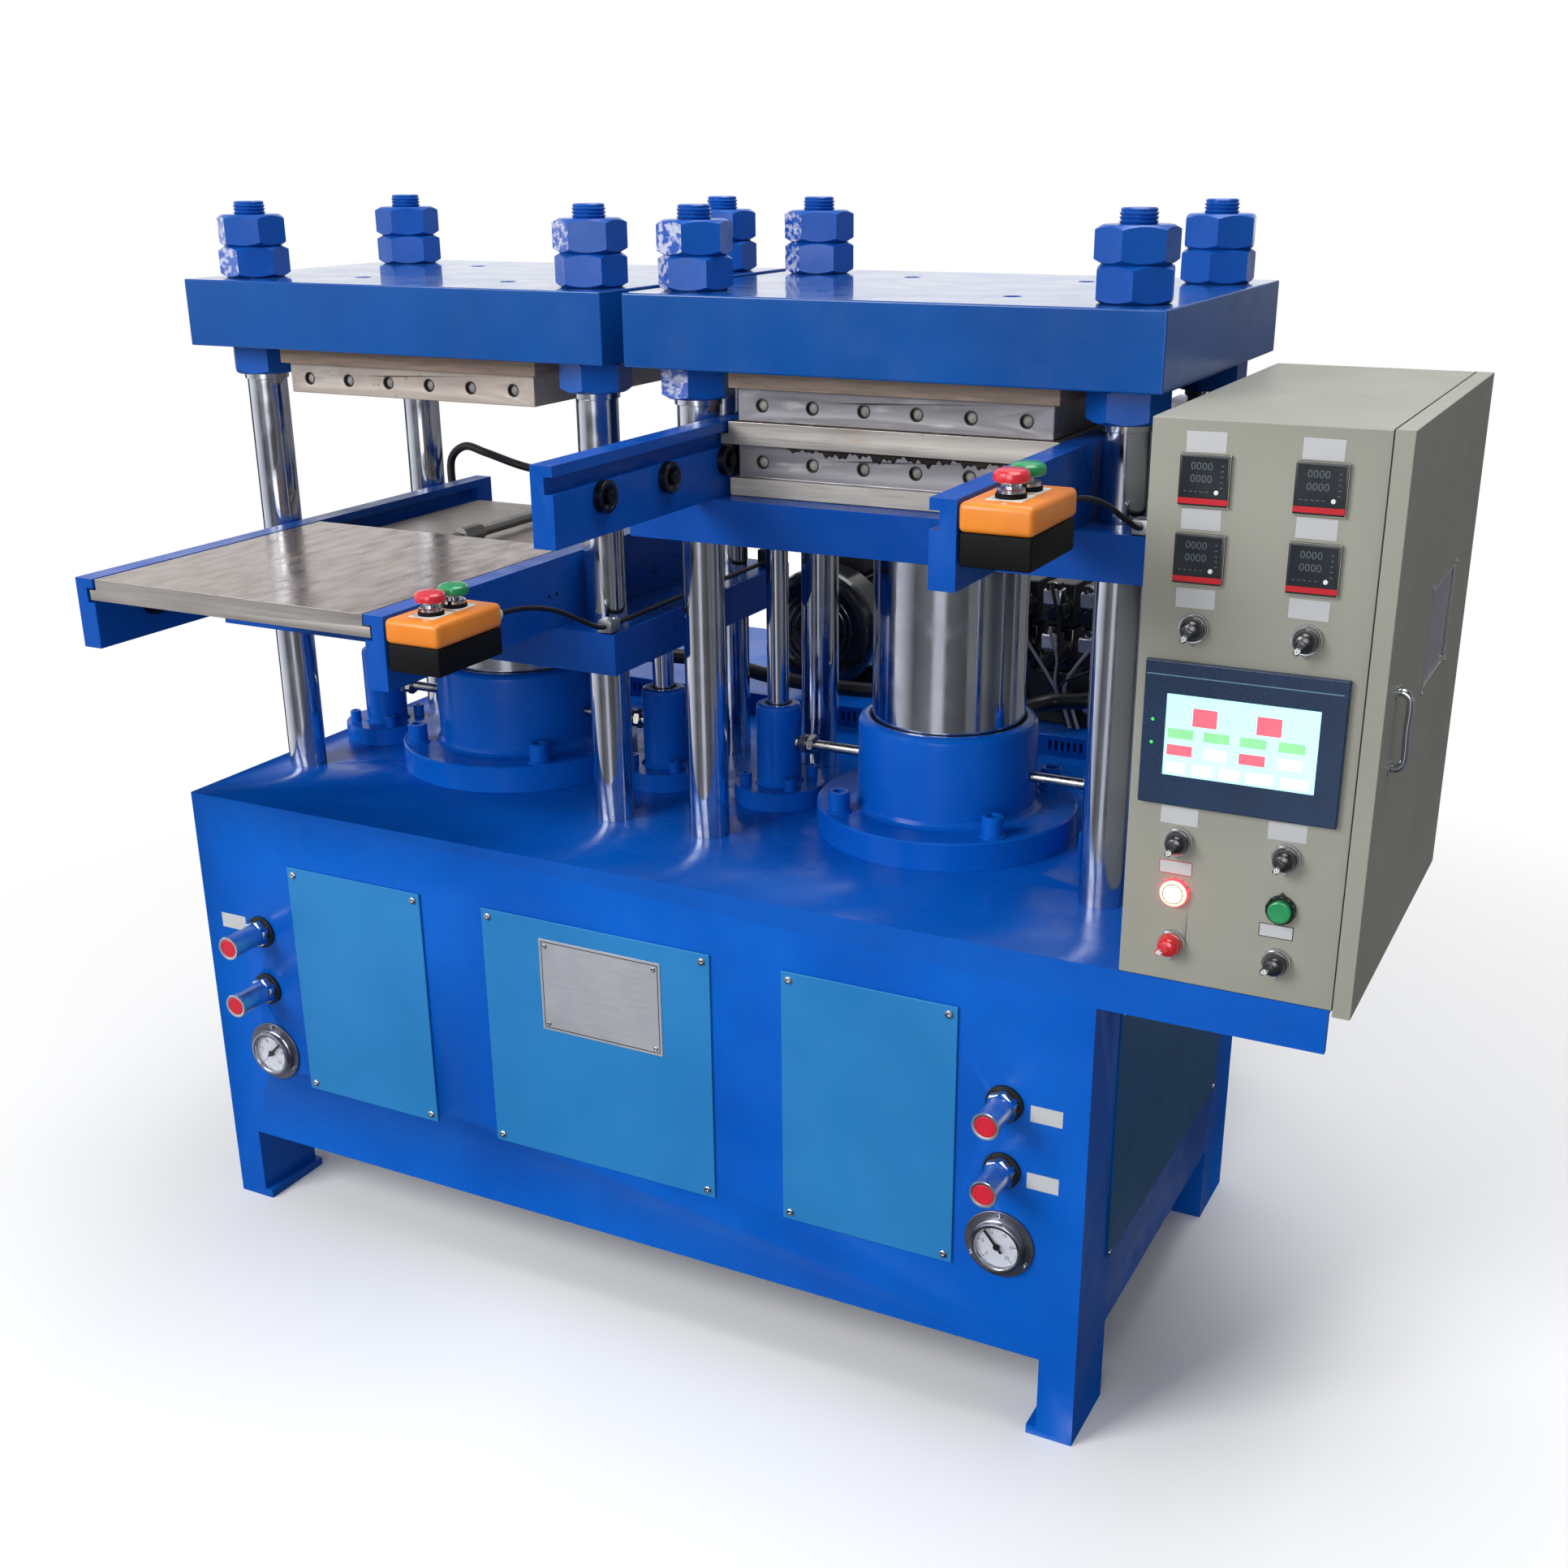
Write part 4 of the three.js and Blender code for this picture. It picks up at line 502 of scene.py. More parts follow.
for side in sides:
    for level in ("upper", "lower"):
        knob_node = f"{side}_{level}_regulator_knob"
        low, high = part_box(knob_node)
        x, z, back = (low.x + high.x) / 2 / mm, (low.z + high.z) / 2 / mm, high.y / mm
        fixed = bmesh.new()
        turn(fixed, [
            (0, 0), (washer["radius"], 0), (washer["radius"], washer["thick"] - 0.8),
            (washer["radius"] - 0.8, washer["thick"]), (0, washer["thick"]),
        ], (x, front_wall, z), forwards, finish=1)
        nut(
            fixed, locknut["flat"], locknut["end"] - washer["thick"], locknut["bore"],
            (x, front_wall - washer["thick"], z), forwards, turned_by=0.3,
        )
        finished(f"{side}_{level}_regulator_locknut", fixed, "frame", [satin_chrome, rubber_black])
        knob = bmesh.new()
        reach = (high.y - low.y) / mm + knob_draw[side]
        waist = 0.96 * (high.x - low.x) / 2 / mm
        stem_end = back - front_wall + locknut["end"] - 1.5
        turn(knob, [
            (0, 0), (6, 0), (6, stem_end), (waist - 1, stem_end), (waist, stem_end + 1.2), (waist, reach - 6),
            (knob_rim - 0.4, reach - 4.4), (knob_rim, reach - 3.8), (knob_rim, reach - 1),
            (knob_rim - 0.6, reach), (knob_rim - 2, reach), (knob_disc, reach - 0.6), (knob_disc, reach - 1),
        ], (x, back, z), forwards)
        turn(knob, [
            (knob_disc, reach - 1), (11.6, reach - 0.2), (9.4, reach), (9, reach - 0.5), (0, reach - 0.5),
        ], (x, back, z), forwards, finish=1)
        body = f"{side}_{level}_regulator"
        finished(f"{side}_{level}_knob", knob, body, [satin_chrome, disc_red], [knob_node])

# Pressure gauges: a dark steel flange held by three domed screws, a chrome bezel, a white dial
# with ticks and plain numbers under glass, and the gauge's body behind the wall.
dial = {"radius": 26.4, "sunk": 7, "ticks": 25, "numbers": 17.4, "full": 25}
dial_start = math.radians(225)
dial_sweep = math.radians(270)
bezel_radius = 31.8
flange_thick = 3.2
flange_screw_ring = 37.4


def numerals(shape, words, height, place, finish):
    """Plain figures on an upright face that looks towards the front."""
    line = bpy.data.curves.new("figures", "FONT")
    line.body = words
    line.size = height
    line.align_x = "CENTER"
    line.align_y = "CENTER"
    line.extrude = 0.06
    line.resolution_u = 2
    carrier = bpy.data.objects.new("figures", line)
    bpy.context.scene.collection.objects.link(carrier)
    bpy.context.view_layer.update()
    outline = carrier.to_mesh()
    part = bmesh.new()
    part.from_mesh(outline)
    carrier.to_mesh_clear()
    bpy.data.objects.remove(carrier)
    bpy.data.curves.remove(line)
    join_in(shape, tilted(part, math.pi / 2, "X"), place, finish=finish)


def clear_glass():
    """Clear glass with the faintest tint."""
    levels = {"Roughness": 0.02, "Transmission Weight": 1.0, "IOR": 1.3}
    material, tree, shader = bare_finish("gauge_glass", levels)
    tint = mingle(tree, cloud(tree, 40), (0.97, 0.98, 1, 1), white)
    tree.links.new(tint, shader.inputs["Base Color"])
    return material


gauge_glass = clear_glass()
flange_dark = metal("flange_dark", (134, 136, 150), (116, 118, 132), roughness=0.4)
bezel_steel = metal("bezel_steel", (184, 186, 194), (160, 162, 170), roughness=0.2)
dial_white = enamel("dial_white", (238, 241, 251), (228, 232, 243), roughness=0.5, peel=0.02)

for side in sides:
    low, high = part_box(f"{side}_pressure_gauge")
    x, z = (low.x + high.x) / 2 / mm, (low.z + high.z) / 2 / mm
    at_wall = (x, front_wall, z)
    back = high.y / mm - front_wall
    gauge = bmesh.new()
    turn(gauge, [
        (0, -back), (25, -back), (27, 3 - back), (27, 0), (41.8, 0.4), (41.8, 2.6),
        (41.2, flange_thick), (bezel_radius, flange_thick),
    ], at_wall, forwards, steps=72)
    turn(gauge, [
        (bezel_radius, flange_thick), (bezel_radius, 6.4), (30.8, 7.2), (30.8, 8.6), (bezel_radius, 9.4),
        (bezel_radius, 12), (31, 13.2), (29.4, 13.8), (27.4, 13.6), (dial["radius"], 12.6),
        (dial["radius"], dial["sunk"]),
    ], at_wall, forwards, finish=1, steps=72)
    turn(gauge, [(dial["radius"], dial["sunk"]), (0, dial["sunk"])], at_wall, forwards, finish=2, steps=72)
    for bearing in (90, 210, 330):
        turned = math.radians(bearing)
        across, upwards = flange_screw_ring * math.cos(turned), flange_screw_ring * math.sin(turned)
        spot = (x + across, front_wall - flange_thick, z + upwards)
        domed_screw(gauge, spot, forwards, 3.2, 2.4, finish=4)
    for tick in range(51):
        turned = dial_start - dial_sweep * tick / 50
        length = 4.2 if tick % 10 == 0 else 2.6 if tick % 5 == 0 else 1.6
        width = 0.8 if tick % 10 == 0 else 0.45
        mark = bar((-width / 2, -0.12, dial["ticks"] - length), (width / 2, 0, dial["ticks"]), edge=0)
        mark = tilted(mark, math.pi / 2 - turned)
        join_in(gauge, mark, (x, front_wall - dial["sunk"], z), finish=3)
    for step in range(6):
        turned = dial_start - dial_sweep * step / 5
        across, upwards = dial["numbers"] * math.cos(turned), dial["numbers"] * math.sin(turned)
        spot = (x + across, front_wall - dial["sunk"] - 0.1, z + upwards)
        numerals(gauge, str(dial["full"] * step // 5), 5.6, spot, 3)
    finished(
        f"{side}_gauge", gauge, "frame",
        [flange_dark, bezel_steel, dial_white, print_black, chrome], [f"{side}_pressure_gauge"],
    )
    window = bmesh.new()
    turn(window, [(0, 12.3), (26.3, 12.3), (26.3, 13), (0, 13)], at_wall, forwards)
    finished(f"{side}_gauge_window", window, "frame", [gauge_glass])
    node = f"{side}_gauge_needle"
    needle = solid_of(node)
    ease_edges(needle, 0.3, segments=1)
    finished(f"{side}_needle_pointer", needle, f"{side}_needle", [print_black], [node])

# Main cylinders: a thick turned barrel standing through the bed, welded into a round flange
# held by four socket screws and painted with the bed, with a black wiper round the ram.
bed_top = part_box("base_frame")[1].z / mm
barrel = 110.5
flange = 162
ram_bore = 94.3
wiper = 97.6
weld_root = 108
flange_screw = {"radius": 13, "height": 26, "ring": 142}
cylinder_port_height = 695


def socket_screw(shape, place, facing, radius, height, finish=0):
    """A cap screw: a round head with a hexagon socket in its end."""
    flat = 0.52 * radius
    socket_floor = 0.45 * height
    part = spun([
        (0, 0), (radius, 0), (radius, height - 1.2), (radius - 1.2, height),
        (flat, height), (flat, socket_floor), (0, socket_floor),
    ], steps=36)
    hexagon_ring(part, flat)
    join_in(shape, part, place, facing, finish)


def four_round(x, y, ring):
    """Four places on the diagonals of a ring."""
    for quarter in range(4):
        turned = math.radians(45 + 90 * quarter)
        yield x + ring * math.cos(turned), y + ring * math.sin(turned)


for side in sides:
    low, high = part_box(f"{side}_ram")
    axis_x, axis_y = (low.x + high.x) / 2 / mm, (low.y + high.y) / 2 / mm
    low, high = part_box(f"{side}_main_cylinder")
    foot, rim = low.z / mm, high.z / mm
    cylinder = bmesh.new()
    at_axis = (axis_x, axis_y, 0)
    turn(cylinder, [
        (0, foot), (barrel - 2, foot), (barrel, foot + 2), (barrel, rim - 10), (barrel - 0.9, rim - 5.6),
        (barrel - 3.4, rim - 2.2), (barrel - 7, rim - 0.4), (barrel - 10, rim), (wiper, rim),
        (wiper, rim - 1.6),
    ], at_axis, steps=96)
    turn(cylinder, [
        (wiper, rim - 1.6), (wiper - 0.6, rim - 0.4), (wiper - 2, rim - 0.4), (ram_bore, rim - 2.6),
        (ram_bore, foot + 18), (0, foot + 18),
    ], at_axis, finish=1, steps=96)
    turn(cylinder, [
        (weld_root, bed_top + 0.3), (flange, bed_top + 0.3), (flange, bed_top + 33),
        (flange - 2, bed_top + 35.2),
        (barrel + 8, bed_top + 35.2), (barrel + 3, bed_top + 37.5), (barrel - 0.5, bed_top + 43),
        (weld_root, bed_top + 43),
    ], at_axis, steps=96)
    for x, y in four_round(axis_x, axis_y, flange_screw["ring"]):
        turn(cylinder, [(0, 0), (16, 0), (16, 2), (15, 2.6), (0, 2.6)], (x, y, bed_top + 35), steps=36)
        head = flange_screw["height"] - 2.2
        socket_screw(cylinder, (x, y, bed_top + 37.4), (0, 0, 1), flange_screw["radius"], head)
    port_end = high.y / mm - axis_y - barrel + 2
    turn(
        cylinder, [(0, 0), (14, 0), (14, port_end - 1), (13, port_end), (0, port_end)],
        (axis_x, axis_y + barrel - 2, cylinder_port_height), (0, 1, 0), finish=2, steps=36,
    )
    finishes = [press_blue, rubber_black, chrome]
    finished(f"{side}_lift_cylinder", cylinder, "frame", finishes, [f"{side}_main_cylinder"])

# Rams: large pistons that carry the tables, turned from bar, ground, hard-chromed and polished,
# with a chamfer at the foot.
for side in sides:
    low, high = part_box(f"{side}_ram")
    x, y = (low.x + high.x) / 2 / mm, (low.y + high.y) / 2 / mm
    foot, head = low.z / mm, high.z / mm
    radius = (high.x - low.x) / 2 / mm
    ram = bmesh.new()
    turn(ram, [
        (0, foot), (radius - 3, foot), (radius, foot + 3), (radius, head), (0, head),
    ], (x, y, 0), steps=128)
    finished(f"{side}_chromed_ram", ram, f"{side}_table_assembly", [chrome], [f"{side}_ram"])

# Booster cylinders: two slim cylinders beside each ram, bolted down by a square-set of screws
# and fed through nickel pipe fittings on the sides towards the main cylinder.
nickel = metal("nickel", (196, 194, 186), (168, 166, 158), roughness=0.24, per_metre=90)
booster_barrel = 29
booster_flange = 59
booster_gland = 18
booster_screw_ring = 45
booster_port_height = 690

for side in sides:
    ram_low, ram_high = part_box(f"{side}_ram")
    axis_y = (ram_low.y + ram_high.y) / 2 / mm
    for hand, towards in (("left", 1), ("right", -1)):
        node = f"{side}_station_{hand}_booster_cylinder"
        low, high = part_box(node)
        axis_x = low.x / mm + booster_flange if towards > 0 else high.x / mm - booster_flange
        at_axis = (axis_x, axis_y, 0)
        foot, rim = low.z / mm, high.z / mm
        booster = bmesh.new()
        turn(booster, [
            (0, foot), (booster_barrel, foot), (booster_barrel, rim - 5), (booster_barrel - 1.4, rim - 1.4),
            (booster_barrel - 5, rim), (booster_gland, rim), (booster_gland, rim - 1),
        ], at_axis, steps=64)
        turn(booster, [
            (booster_gland, rim - 1), (17, rim), (15.4, rim), (14.4, rim - 1.4), (14.4, foot + 12),
            (0, foot + 12),
        ], at_axis, finish=1, steps=64)
        turn(booster, [
            (27, bed_top + 0.3), (booster_flange, bed_top + 0.3), (booster_flange, bed_top + 22.8),
            (booster_flange - 1.4, bed_top + 24.3), (booster_barrel + 4, bed_top + 24.3),
            (booster_barrel - 0.5, bed_top + 29), (27, bed_top + 29),
        ], at_axis, steps=64)
        for x, y in four_round(axis_x, axis_y, booster_screw_ring):
            socket_screw(booster, (x, y, bed_top + 24.2), (0, 0, 1), 7.5, 16)
        port_x = axis_x + towards * (booster_barrel - 3)
        tip = (high.x / mm - axis_x if towards > 0 else axis_x - low.x / mm) - booster_barrel + 3
        turn(
            booster, [(0, 0), (9, 0), (9, 5), (6.5, 6), (6.5, tip - 1), (5.5, tip), (0, tip)],
            (port_x, axis_y, booster_port_height), (towards, 0, 0), finish=2, steps=32,
        )
        for out, turned in ((8, 0.26), (19, 0.8)):
            place = (port_x + towards * out, axis_y, booster_port_height)
            nut(booster, 11.3, 9, 6, place, (towards, 0, 0), finish=2, turned_by=turned)
        finishes = [press_blue, rubber_black, nickel]
        finished(f"{side}_{hand}_booster", booster, "frame", finishes, [node])

# Tie rods: eight hard-chromed columns, screwed at both ends; two stacked hexagon nuts clamp the
# crown from above, one from below and one under the bed, all in blue enamel; on some nuts the facets
# that face left and front take pale flecks, a painted highlight of the bright surroundings.
nut_flat = 37.2
nut_height = 37
rod_radius = 25
collar = 27.5
stub_radius = 19.6
thread = {"pitch": 4.0, "depth": 1.9}
# The nuts, counted from the foot up, whose left and front facets take the painted highlight.
nuts_with_painted_glints = {
    ("left", "front_left"): (2, 3), ("left", "front_right"): (3,), ("right", "front_left"): (1, 2, 3),
    ("right", "back_left"): (2, 3), ("left", "back_right"): (2, 3),
}
nut_blue = enamel("nut_blue", (16, 84, 172), (10, 72, 156), roughness=0.24, peel=0.1, gloss=0.3)
# A lighter blue with pale flecks: a painted highlight, the bright surroundings mirrored in bumpy gloss.
painted_glint_blue = worked_finish(
    "painted_glint_blue", {}, ((70, 100, 178), (26, 76, 168)), tone=((9, 4), 0.4, 0.6),
    smears=((60, 5), 0.35, 0.7, 0.22, 0.45), skin=((160, 6), 0.25),
    marks=[((196, 200, 218), (95, 8, (1, 1, 1.6)), 0.45, 0.58, 0, 0.85)],
)
crown_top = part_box("left_crown_plate")[1].z / mm
screwed_from = crown_top + 2 * nut_height - 2

for side in sides:
    under_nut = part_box(f"{side}_crown_plate")[0].z / mm - 0.3 - nut_height
    for count, corner_name in enumerate(("front_left", "front_right", "back_left", "back_right")):
        node = f"{side}_station_{corner_name}_tie_rod"
        low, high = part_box(node)
        foot, tip = low.z / mm, high.z / mm
        x, y = (low.x + high.x) / 2 / mm, (low.y + high.y) / 2 / mm
        rod = bmesh.new()
        turn(rod, [
            (0, foot), (20, foot), (21, foot + 1), (21, bed_top + 0.2), (rod_radius, bed_top + 0.3),
            (rod_radius, under_nut - 8), (collar, under_nut - 7), (collar, under_nut - 0.2),
            (rod_radius, under_nut), (rod_radius, crown_top + 0.3), (stub_radius, crown_top + 1),
        ], (x, y, 0), steps=72)
        screwed = [(stub_radius, crown_top + 1), (stub_radius, screwed_from)]
        height = screwed_from
        while height < tip - 3:
            root = stub_radius - thread["depth"]
            screwed += [(stub_radius, height + 1.2), (root, height + 2.4), (root, height + 2.8)]
            height += thread["pitch"]
        screwed += [(stub_radius - 1.2, tip - 1.4), (stub_radius - 3, tip), (0, tip)]
        turn(rod, screwed, (x, y, 0), finish=1)
        by_chance = 7 * (0.21 + 0.37 * count + (0.5 if side == "right" else 0))
        levels = (foot + 8, under_nut, crown_top + 0.3, crown_top + 0.6 + nut_height)
        for row, (level, extra) in enumerate(zip(levels, (1, 3, 0, 2.1))):
            turned = math.radians(30) + 0.25 * math.sin(by_chance + extra)
            nut(rod, nut_flat, nut_height, stub_radius + 0.4, (x, y, level), finish=1, turned_by=turned)
            # Facets that face left and front take the painted highlight.
            if row in nuts_with_painted_glints.get((side, corner_name), ()):
                rod.normal_update()
                for face in rod.faces:
                    on_nut = 0 < face.calc_center_median().z - level < nut_height
                    faces_left = face.normal.x < -0.2 and face.normal.y < -0.3
                    if face.material_index == 1 and on_nut and faces_left:
                        face.material_index = 2
        finishes = [chrome, nut_blue, painted_glint_blue]
        finished(f"{side}_{corner_name}_column", rod, "frame", finishes, [node])

# Tables: thick steel plates that slide on the tie rods, with the boosters' chromed rods screwed in
# from below and a pneumatic slide cylinder on a bracket behind; its black hose ends in a block.
table_thickness = 50
table_half_depth = 225
table_fit = 0.3
booster_rod = {"radius": 14.05, "out": 236}
slide = {"radius": 20.2, "head": 48, "height": 69.4}
hose_block_out = 274
slide_hose = [
    (-18, 311.5, 69.4), (-60, 295.5, 78), (-151, 262, 95), (-225, 262, 112), (-262, 262, 119),
    (-288, 262, 100), (-286, 256, 50), (-274, 243, 0), (-274, 241, -24),
]


def corners_of(node):
    """A CAD node's lowest and highest corners in millimetres."""
    return [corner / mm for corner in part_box(node)]


def faces_between(shape, low, high):
    """The faces whose middles lie between two corners."""
    return [
        face for face in shape.faces
        if all(low[i] <= face.calc_center_median()[i] <= high[i] for i in range(3))
    ]


def drop_region(shape, low, high):
    """Take away the faces between two corners, where a finer form takes their place."""
    bmesh.ops.delete(shape, geom=faces_between(shape, low, high), context="FACES")


def coat_region(shape, finish, low, high):
    """Give a finish to the faces between two corners."""
    for face in faces_between(shape, low, high):
        face.material_index = finish


def smooth_route(route, steps=7):
    """Points close together on one smooth line through a hose's given points."""
    marks = [Vector(point) for point in route]
    marks = [2 * marks[0] - marks[1]] + marks + [2 * marks[-1] - marks[-2]]
    line = []
    for a, b, c, d in zip(marks, marks[1:], marks[2:], marks[3:]):
        first = (b - a).length ** 0.5
        second = first + (c - b).length ** 0.5
        third = second + (d - c).length ** 0.5
        for step in range(steps):
            at = first + (second - first) * step / steps
            ab = a.lerp(b, at / first)
            bc = b.lerp(c, (at - first) / (second - first))
            cd = c.lerp(d, (at - second) / (third - second))
            abc = ab.lerp(bc, at / second)
            bcd = bc.lerp(cd, (at - first) / (third - first))
            line.append(abc.lerp(bcd, (at - first) / (second - first)))
    line.append(marks[-2])
    return line


def tube(shape, line, radius, finish=0, sides=16):
    """A round hose, lead or bent bar drawn along a line, closed at both ends."""
    part = bmesh.new()
    way = (line[1] - line[0]).normalized()
    ring = bmesh.ops.create_circle(part, segments=sides, radius=radius)["verts"]
    turned = Vector((0, 0, 1)).rotation_difference(way).to_matrix()
    bmesh.ops.rotate(part, cent=(0, 0, 0), matrix=turned, verts=ring)
    bmesh.ops.translate(part, vec=line[0], verts=ring)
    rim = list(part.edges)
    ends = list(rim)
    for index in range(1, len(line)):
        ahead = (line[min(index + 1, len(line) - 1)] - line[index - 1]).normalized()
        drawn = bmesh.ops.extrude_edge_only(part, edges=rim)["geom"]
        ring = [piece for piece in drawn if isinstance(piece, bmesh.types.BMVert)]
        rim = [piece for piece in drawn if isinstance(piece, bmesh.types.BMEdge)]
        bmesh.ops.translate(part, vec=line[index] - line[index - 1], verts=ring)
        turned = way.rotation_difference(ahead).to_matrix()
        bmesh.ops.rotate(part, cent=line[index], matrix=turned, verts=ring)
        way = ahead
    bmesh.ops.holes_fill(part, edges=ends + rim, sides=0)
    bmesh.ops.recalc_face_normals(part, faces=part.faces)
    join_in(shape, part, finish=finish)


def station_of(side):
    """The middle of a station and the height of its table's top, in millimetres."""
    low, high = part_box(f"{side}_ram")
    table_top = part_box(f"{side}_lower_heating_plate")[0].z / mm - table_fit
    return (low.x + high.x) / 2 / mm, (low.y + high.y) / 2 / mm, table_top


table_blue = enamel("table_blue", (6, 72, 160), (4, 64, 146), roughness=0.27, gloss=0.18)
aluminium = metal(
    "aluminium", (186, 189, 194), (168, 172, 178), roughness=0.34, grain=(1, 0.05, 1), per_metre=220,
)
cable_black = enamel("cable_black", (20, 21, 23), (30, 31, 34), roughness=0.42, peel=0.04)

for side in sides:
    x, y, top = station_of(side)
    low, high = corners_of(f"{side}_table")
    underside = top - table_thickness
    back = y + table_half_depth
    table = solid_of(f"{side}_table")
    drop_region(table, (low.x, y - 60, low.z - 1), (high.x, y + 60, underside - 0.5))
    drop_region(table, (x - 60, back + 75.5, top + 20), (x + 60, high.y + 1, top + 120))
    drop_region(table, (low.x - 5, back + 0.2, top - 45), (x - 55.2, high.y, top + 140))

    def of_plate(edge):
        """Whether an edge belongs to the thick plate itself."""
        return all(
            abs(corner.co.y - y) <= table_half_depth + 0.1 and corner.co.z > underside - 1
            for corner in edge.verts
        )

    ease_edges(table, 1.6, picked=of_plate)
    rod = booster_rod["radius"]
    for centre in (x - booster_rod["out"], x + booster_rod["out"]):
        turn(table, [
            (0, low.z), (rod - 2, low.z), (rod, low.z + 2), (rod, underside + 4), (0, underside + 4),
        ], (centre, y, 0), finish=1)
        nut(table, 19, 8, rod, (centre, y, underside - 7.8), finish=1)
    axis_z = top + slide["height"]
    start, half_head = back + 74.7, slide["head"] / 2
    turn(table, [
        (0, start + 2), (slide["radius"], start + 2), (slide["radius"], high.y - 3), (0, high.y - 3),
    ], (x, 0, axis_z), (0, 1, 0), finish=2)
    for head_y in (start, high.y - 24):
        block(
            table, (x - half_head, head_y, axis_z - half_head),
            (x + half_head, head_y + 24, axis_z + half_head), finish=3, edge=2,
        )
    end_x = x - hose_block_out
    block(table, (end_x - 15, back - 0.3, top - 40), (end_x + 15, back + 26, top - 10), finish=3, edge=1.5)
    hose = [point + Vector((x, y, top)) for point in smooth_route(slide_hose)]
    tube(table, hose, 6, finish=4)
    nut(table, 8.4, 9, 5, (end_x, y + 241.6, top - 10), finish=5)
    finished(
        f"{side}_lift_table", table, f"{side}_table_assembly",
        [table_blue, chrome, aluminium, print_black, cable_black, nickel], [f"{side}_table"],
    )

# Heating plates: ground steel slabs with six cartridge heaters in bores along the front edge,
# each on a pressed insulation board, brown at the crown and pale at the table.
heaters = {"count": 6, "pitch": 62, "sleeve": 7.9, "core": 6.2}
board_reach = 8
plate_thickness = 36
board_thickness = 20
residue_steps = 130


def ground_plate(name, main, second):
    """Plate steel, ground and heat-stained: grey brown with pale scuffs and small dark specks."""
    worked = (90, 6, (0.25, 1, 3))
    scuffs = ((206, 203, 202), (26, 8, (0.5, 0.5, 2.4)), 0.6, 0.72, 0, 0.5)
    specks = ((112, 98, 88), (70, 6), 0.66, 0.74, 0, 0.6)
    return worked_finish(
        name, {"Metallic": 0.4}, (main, second), tone=((9, 6), 0.32, 0.68),
        smears=(worked, 0.3, 0.7, 0.34, 0.52), skin=(worked, 0.04), marks=[scuffs, specks],
    )


def pressed_board(name, main, second):
    """Insulation board of pressed fibre: matt, layered along its edge and a little uneven."""
    layers = (60, 6, (0.35, 0.35, 5))
    smears = (layers, 0.3, 0.7, 0.78, 0.94)
    return worked_finish(name, {}, (main, second), (layers, 0.3, 0.7), smears, (layers, 0.2))


def residue(shape, start, end, front, top):
    """Cured rubber squeezed out under the mould plate: a thin ragged skirt over the slab's front."""
    part = bmesh.new()
    rows = []
    for index in range(residue_steps + 1):
        along = start + (end - start) * index / residue_steps
        wave = math.sin(along * 0.31) + math.sin(along * 0.113 + 1) + 0.8 * math.sin(along * 0.77 + 2)
        fade = math.sin(math.pi * index / residue_steps) ** 0.3
        drop = max(1.2, (6.2 + 2.6 * wave) * fade)
        proud = 0.5 + 0.25 * (wave + 2.8)
        rows.append([
            part.verts.new(point) for point in (
                (along, front + 0.2, top - 0.1), (along, front - proud, top - 0.6),
                (along, front - proud, top - 0.6 * drop), (along, front + 0.2, top - drop - 0.4),
            )
        ])
    sections = [[part.edges.new((row[i], row[(i + 1) % 4])) for i in range(4)] for row in rows]
    for first, second in zip(sections, sections[1:]):
        bmesh.ops.bridge_loops(part, edges=first + second)
    bmesh.ops.holes_fill(part, edges=sections[0] + sections[-1], sides=4)
    bmesh.ops.recalc_face_normals(part, faces=part.faces)
    join_in(shape, part, finish=4)


# The left plates take a lighter copy of the ground steel: painted light, as they face the lamp; the right
# ones keep the plain shades.
plate_steel_with_lit_left = {
    "left": ground_plate("lit_left_plate_steel", (182, 172, 162), (160, 150, 142)),
    "right": ground_plate("right_plate_steel", (134, 132, 136), (116, 115, 120)),
}
residue_brown = enamel("residue_brown", (58, 42, 34), (26, 20, 18), roughness=0.7, peel=0.4)
boards = {
    "upper": pressed_board("brown_board", (146, 128, 114), (120, 105, 95)),
    "lower": pressed_board("pale_board", (176, 172, 164), (154, 149, 142)),
}
heater_sleeve = metal("heater_sleeve", (66, 60, 58), (48, 44, 43), roughness=0.5, metallic=0.6)
heater_end = enamel("heater_end", (148, 146, 144), (122, 120, 118), roughness=0.7, peel=0.1)

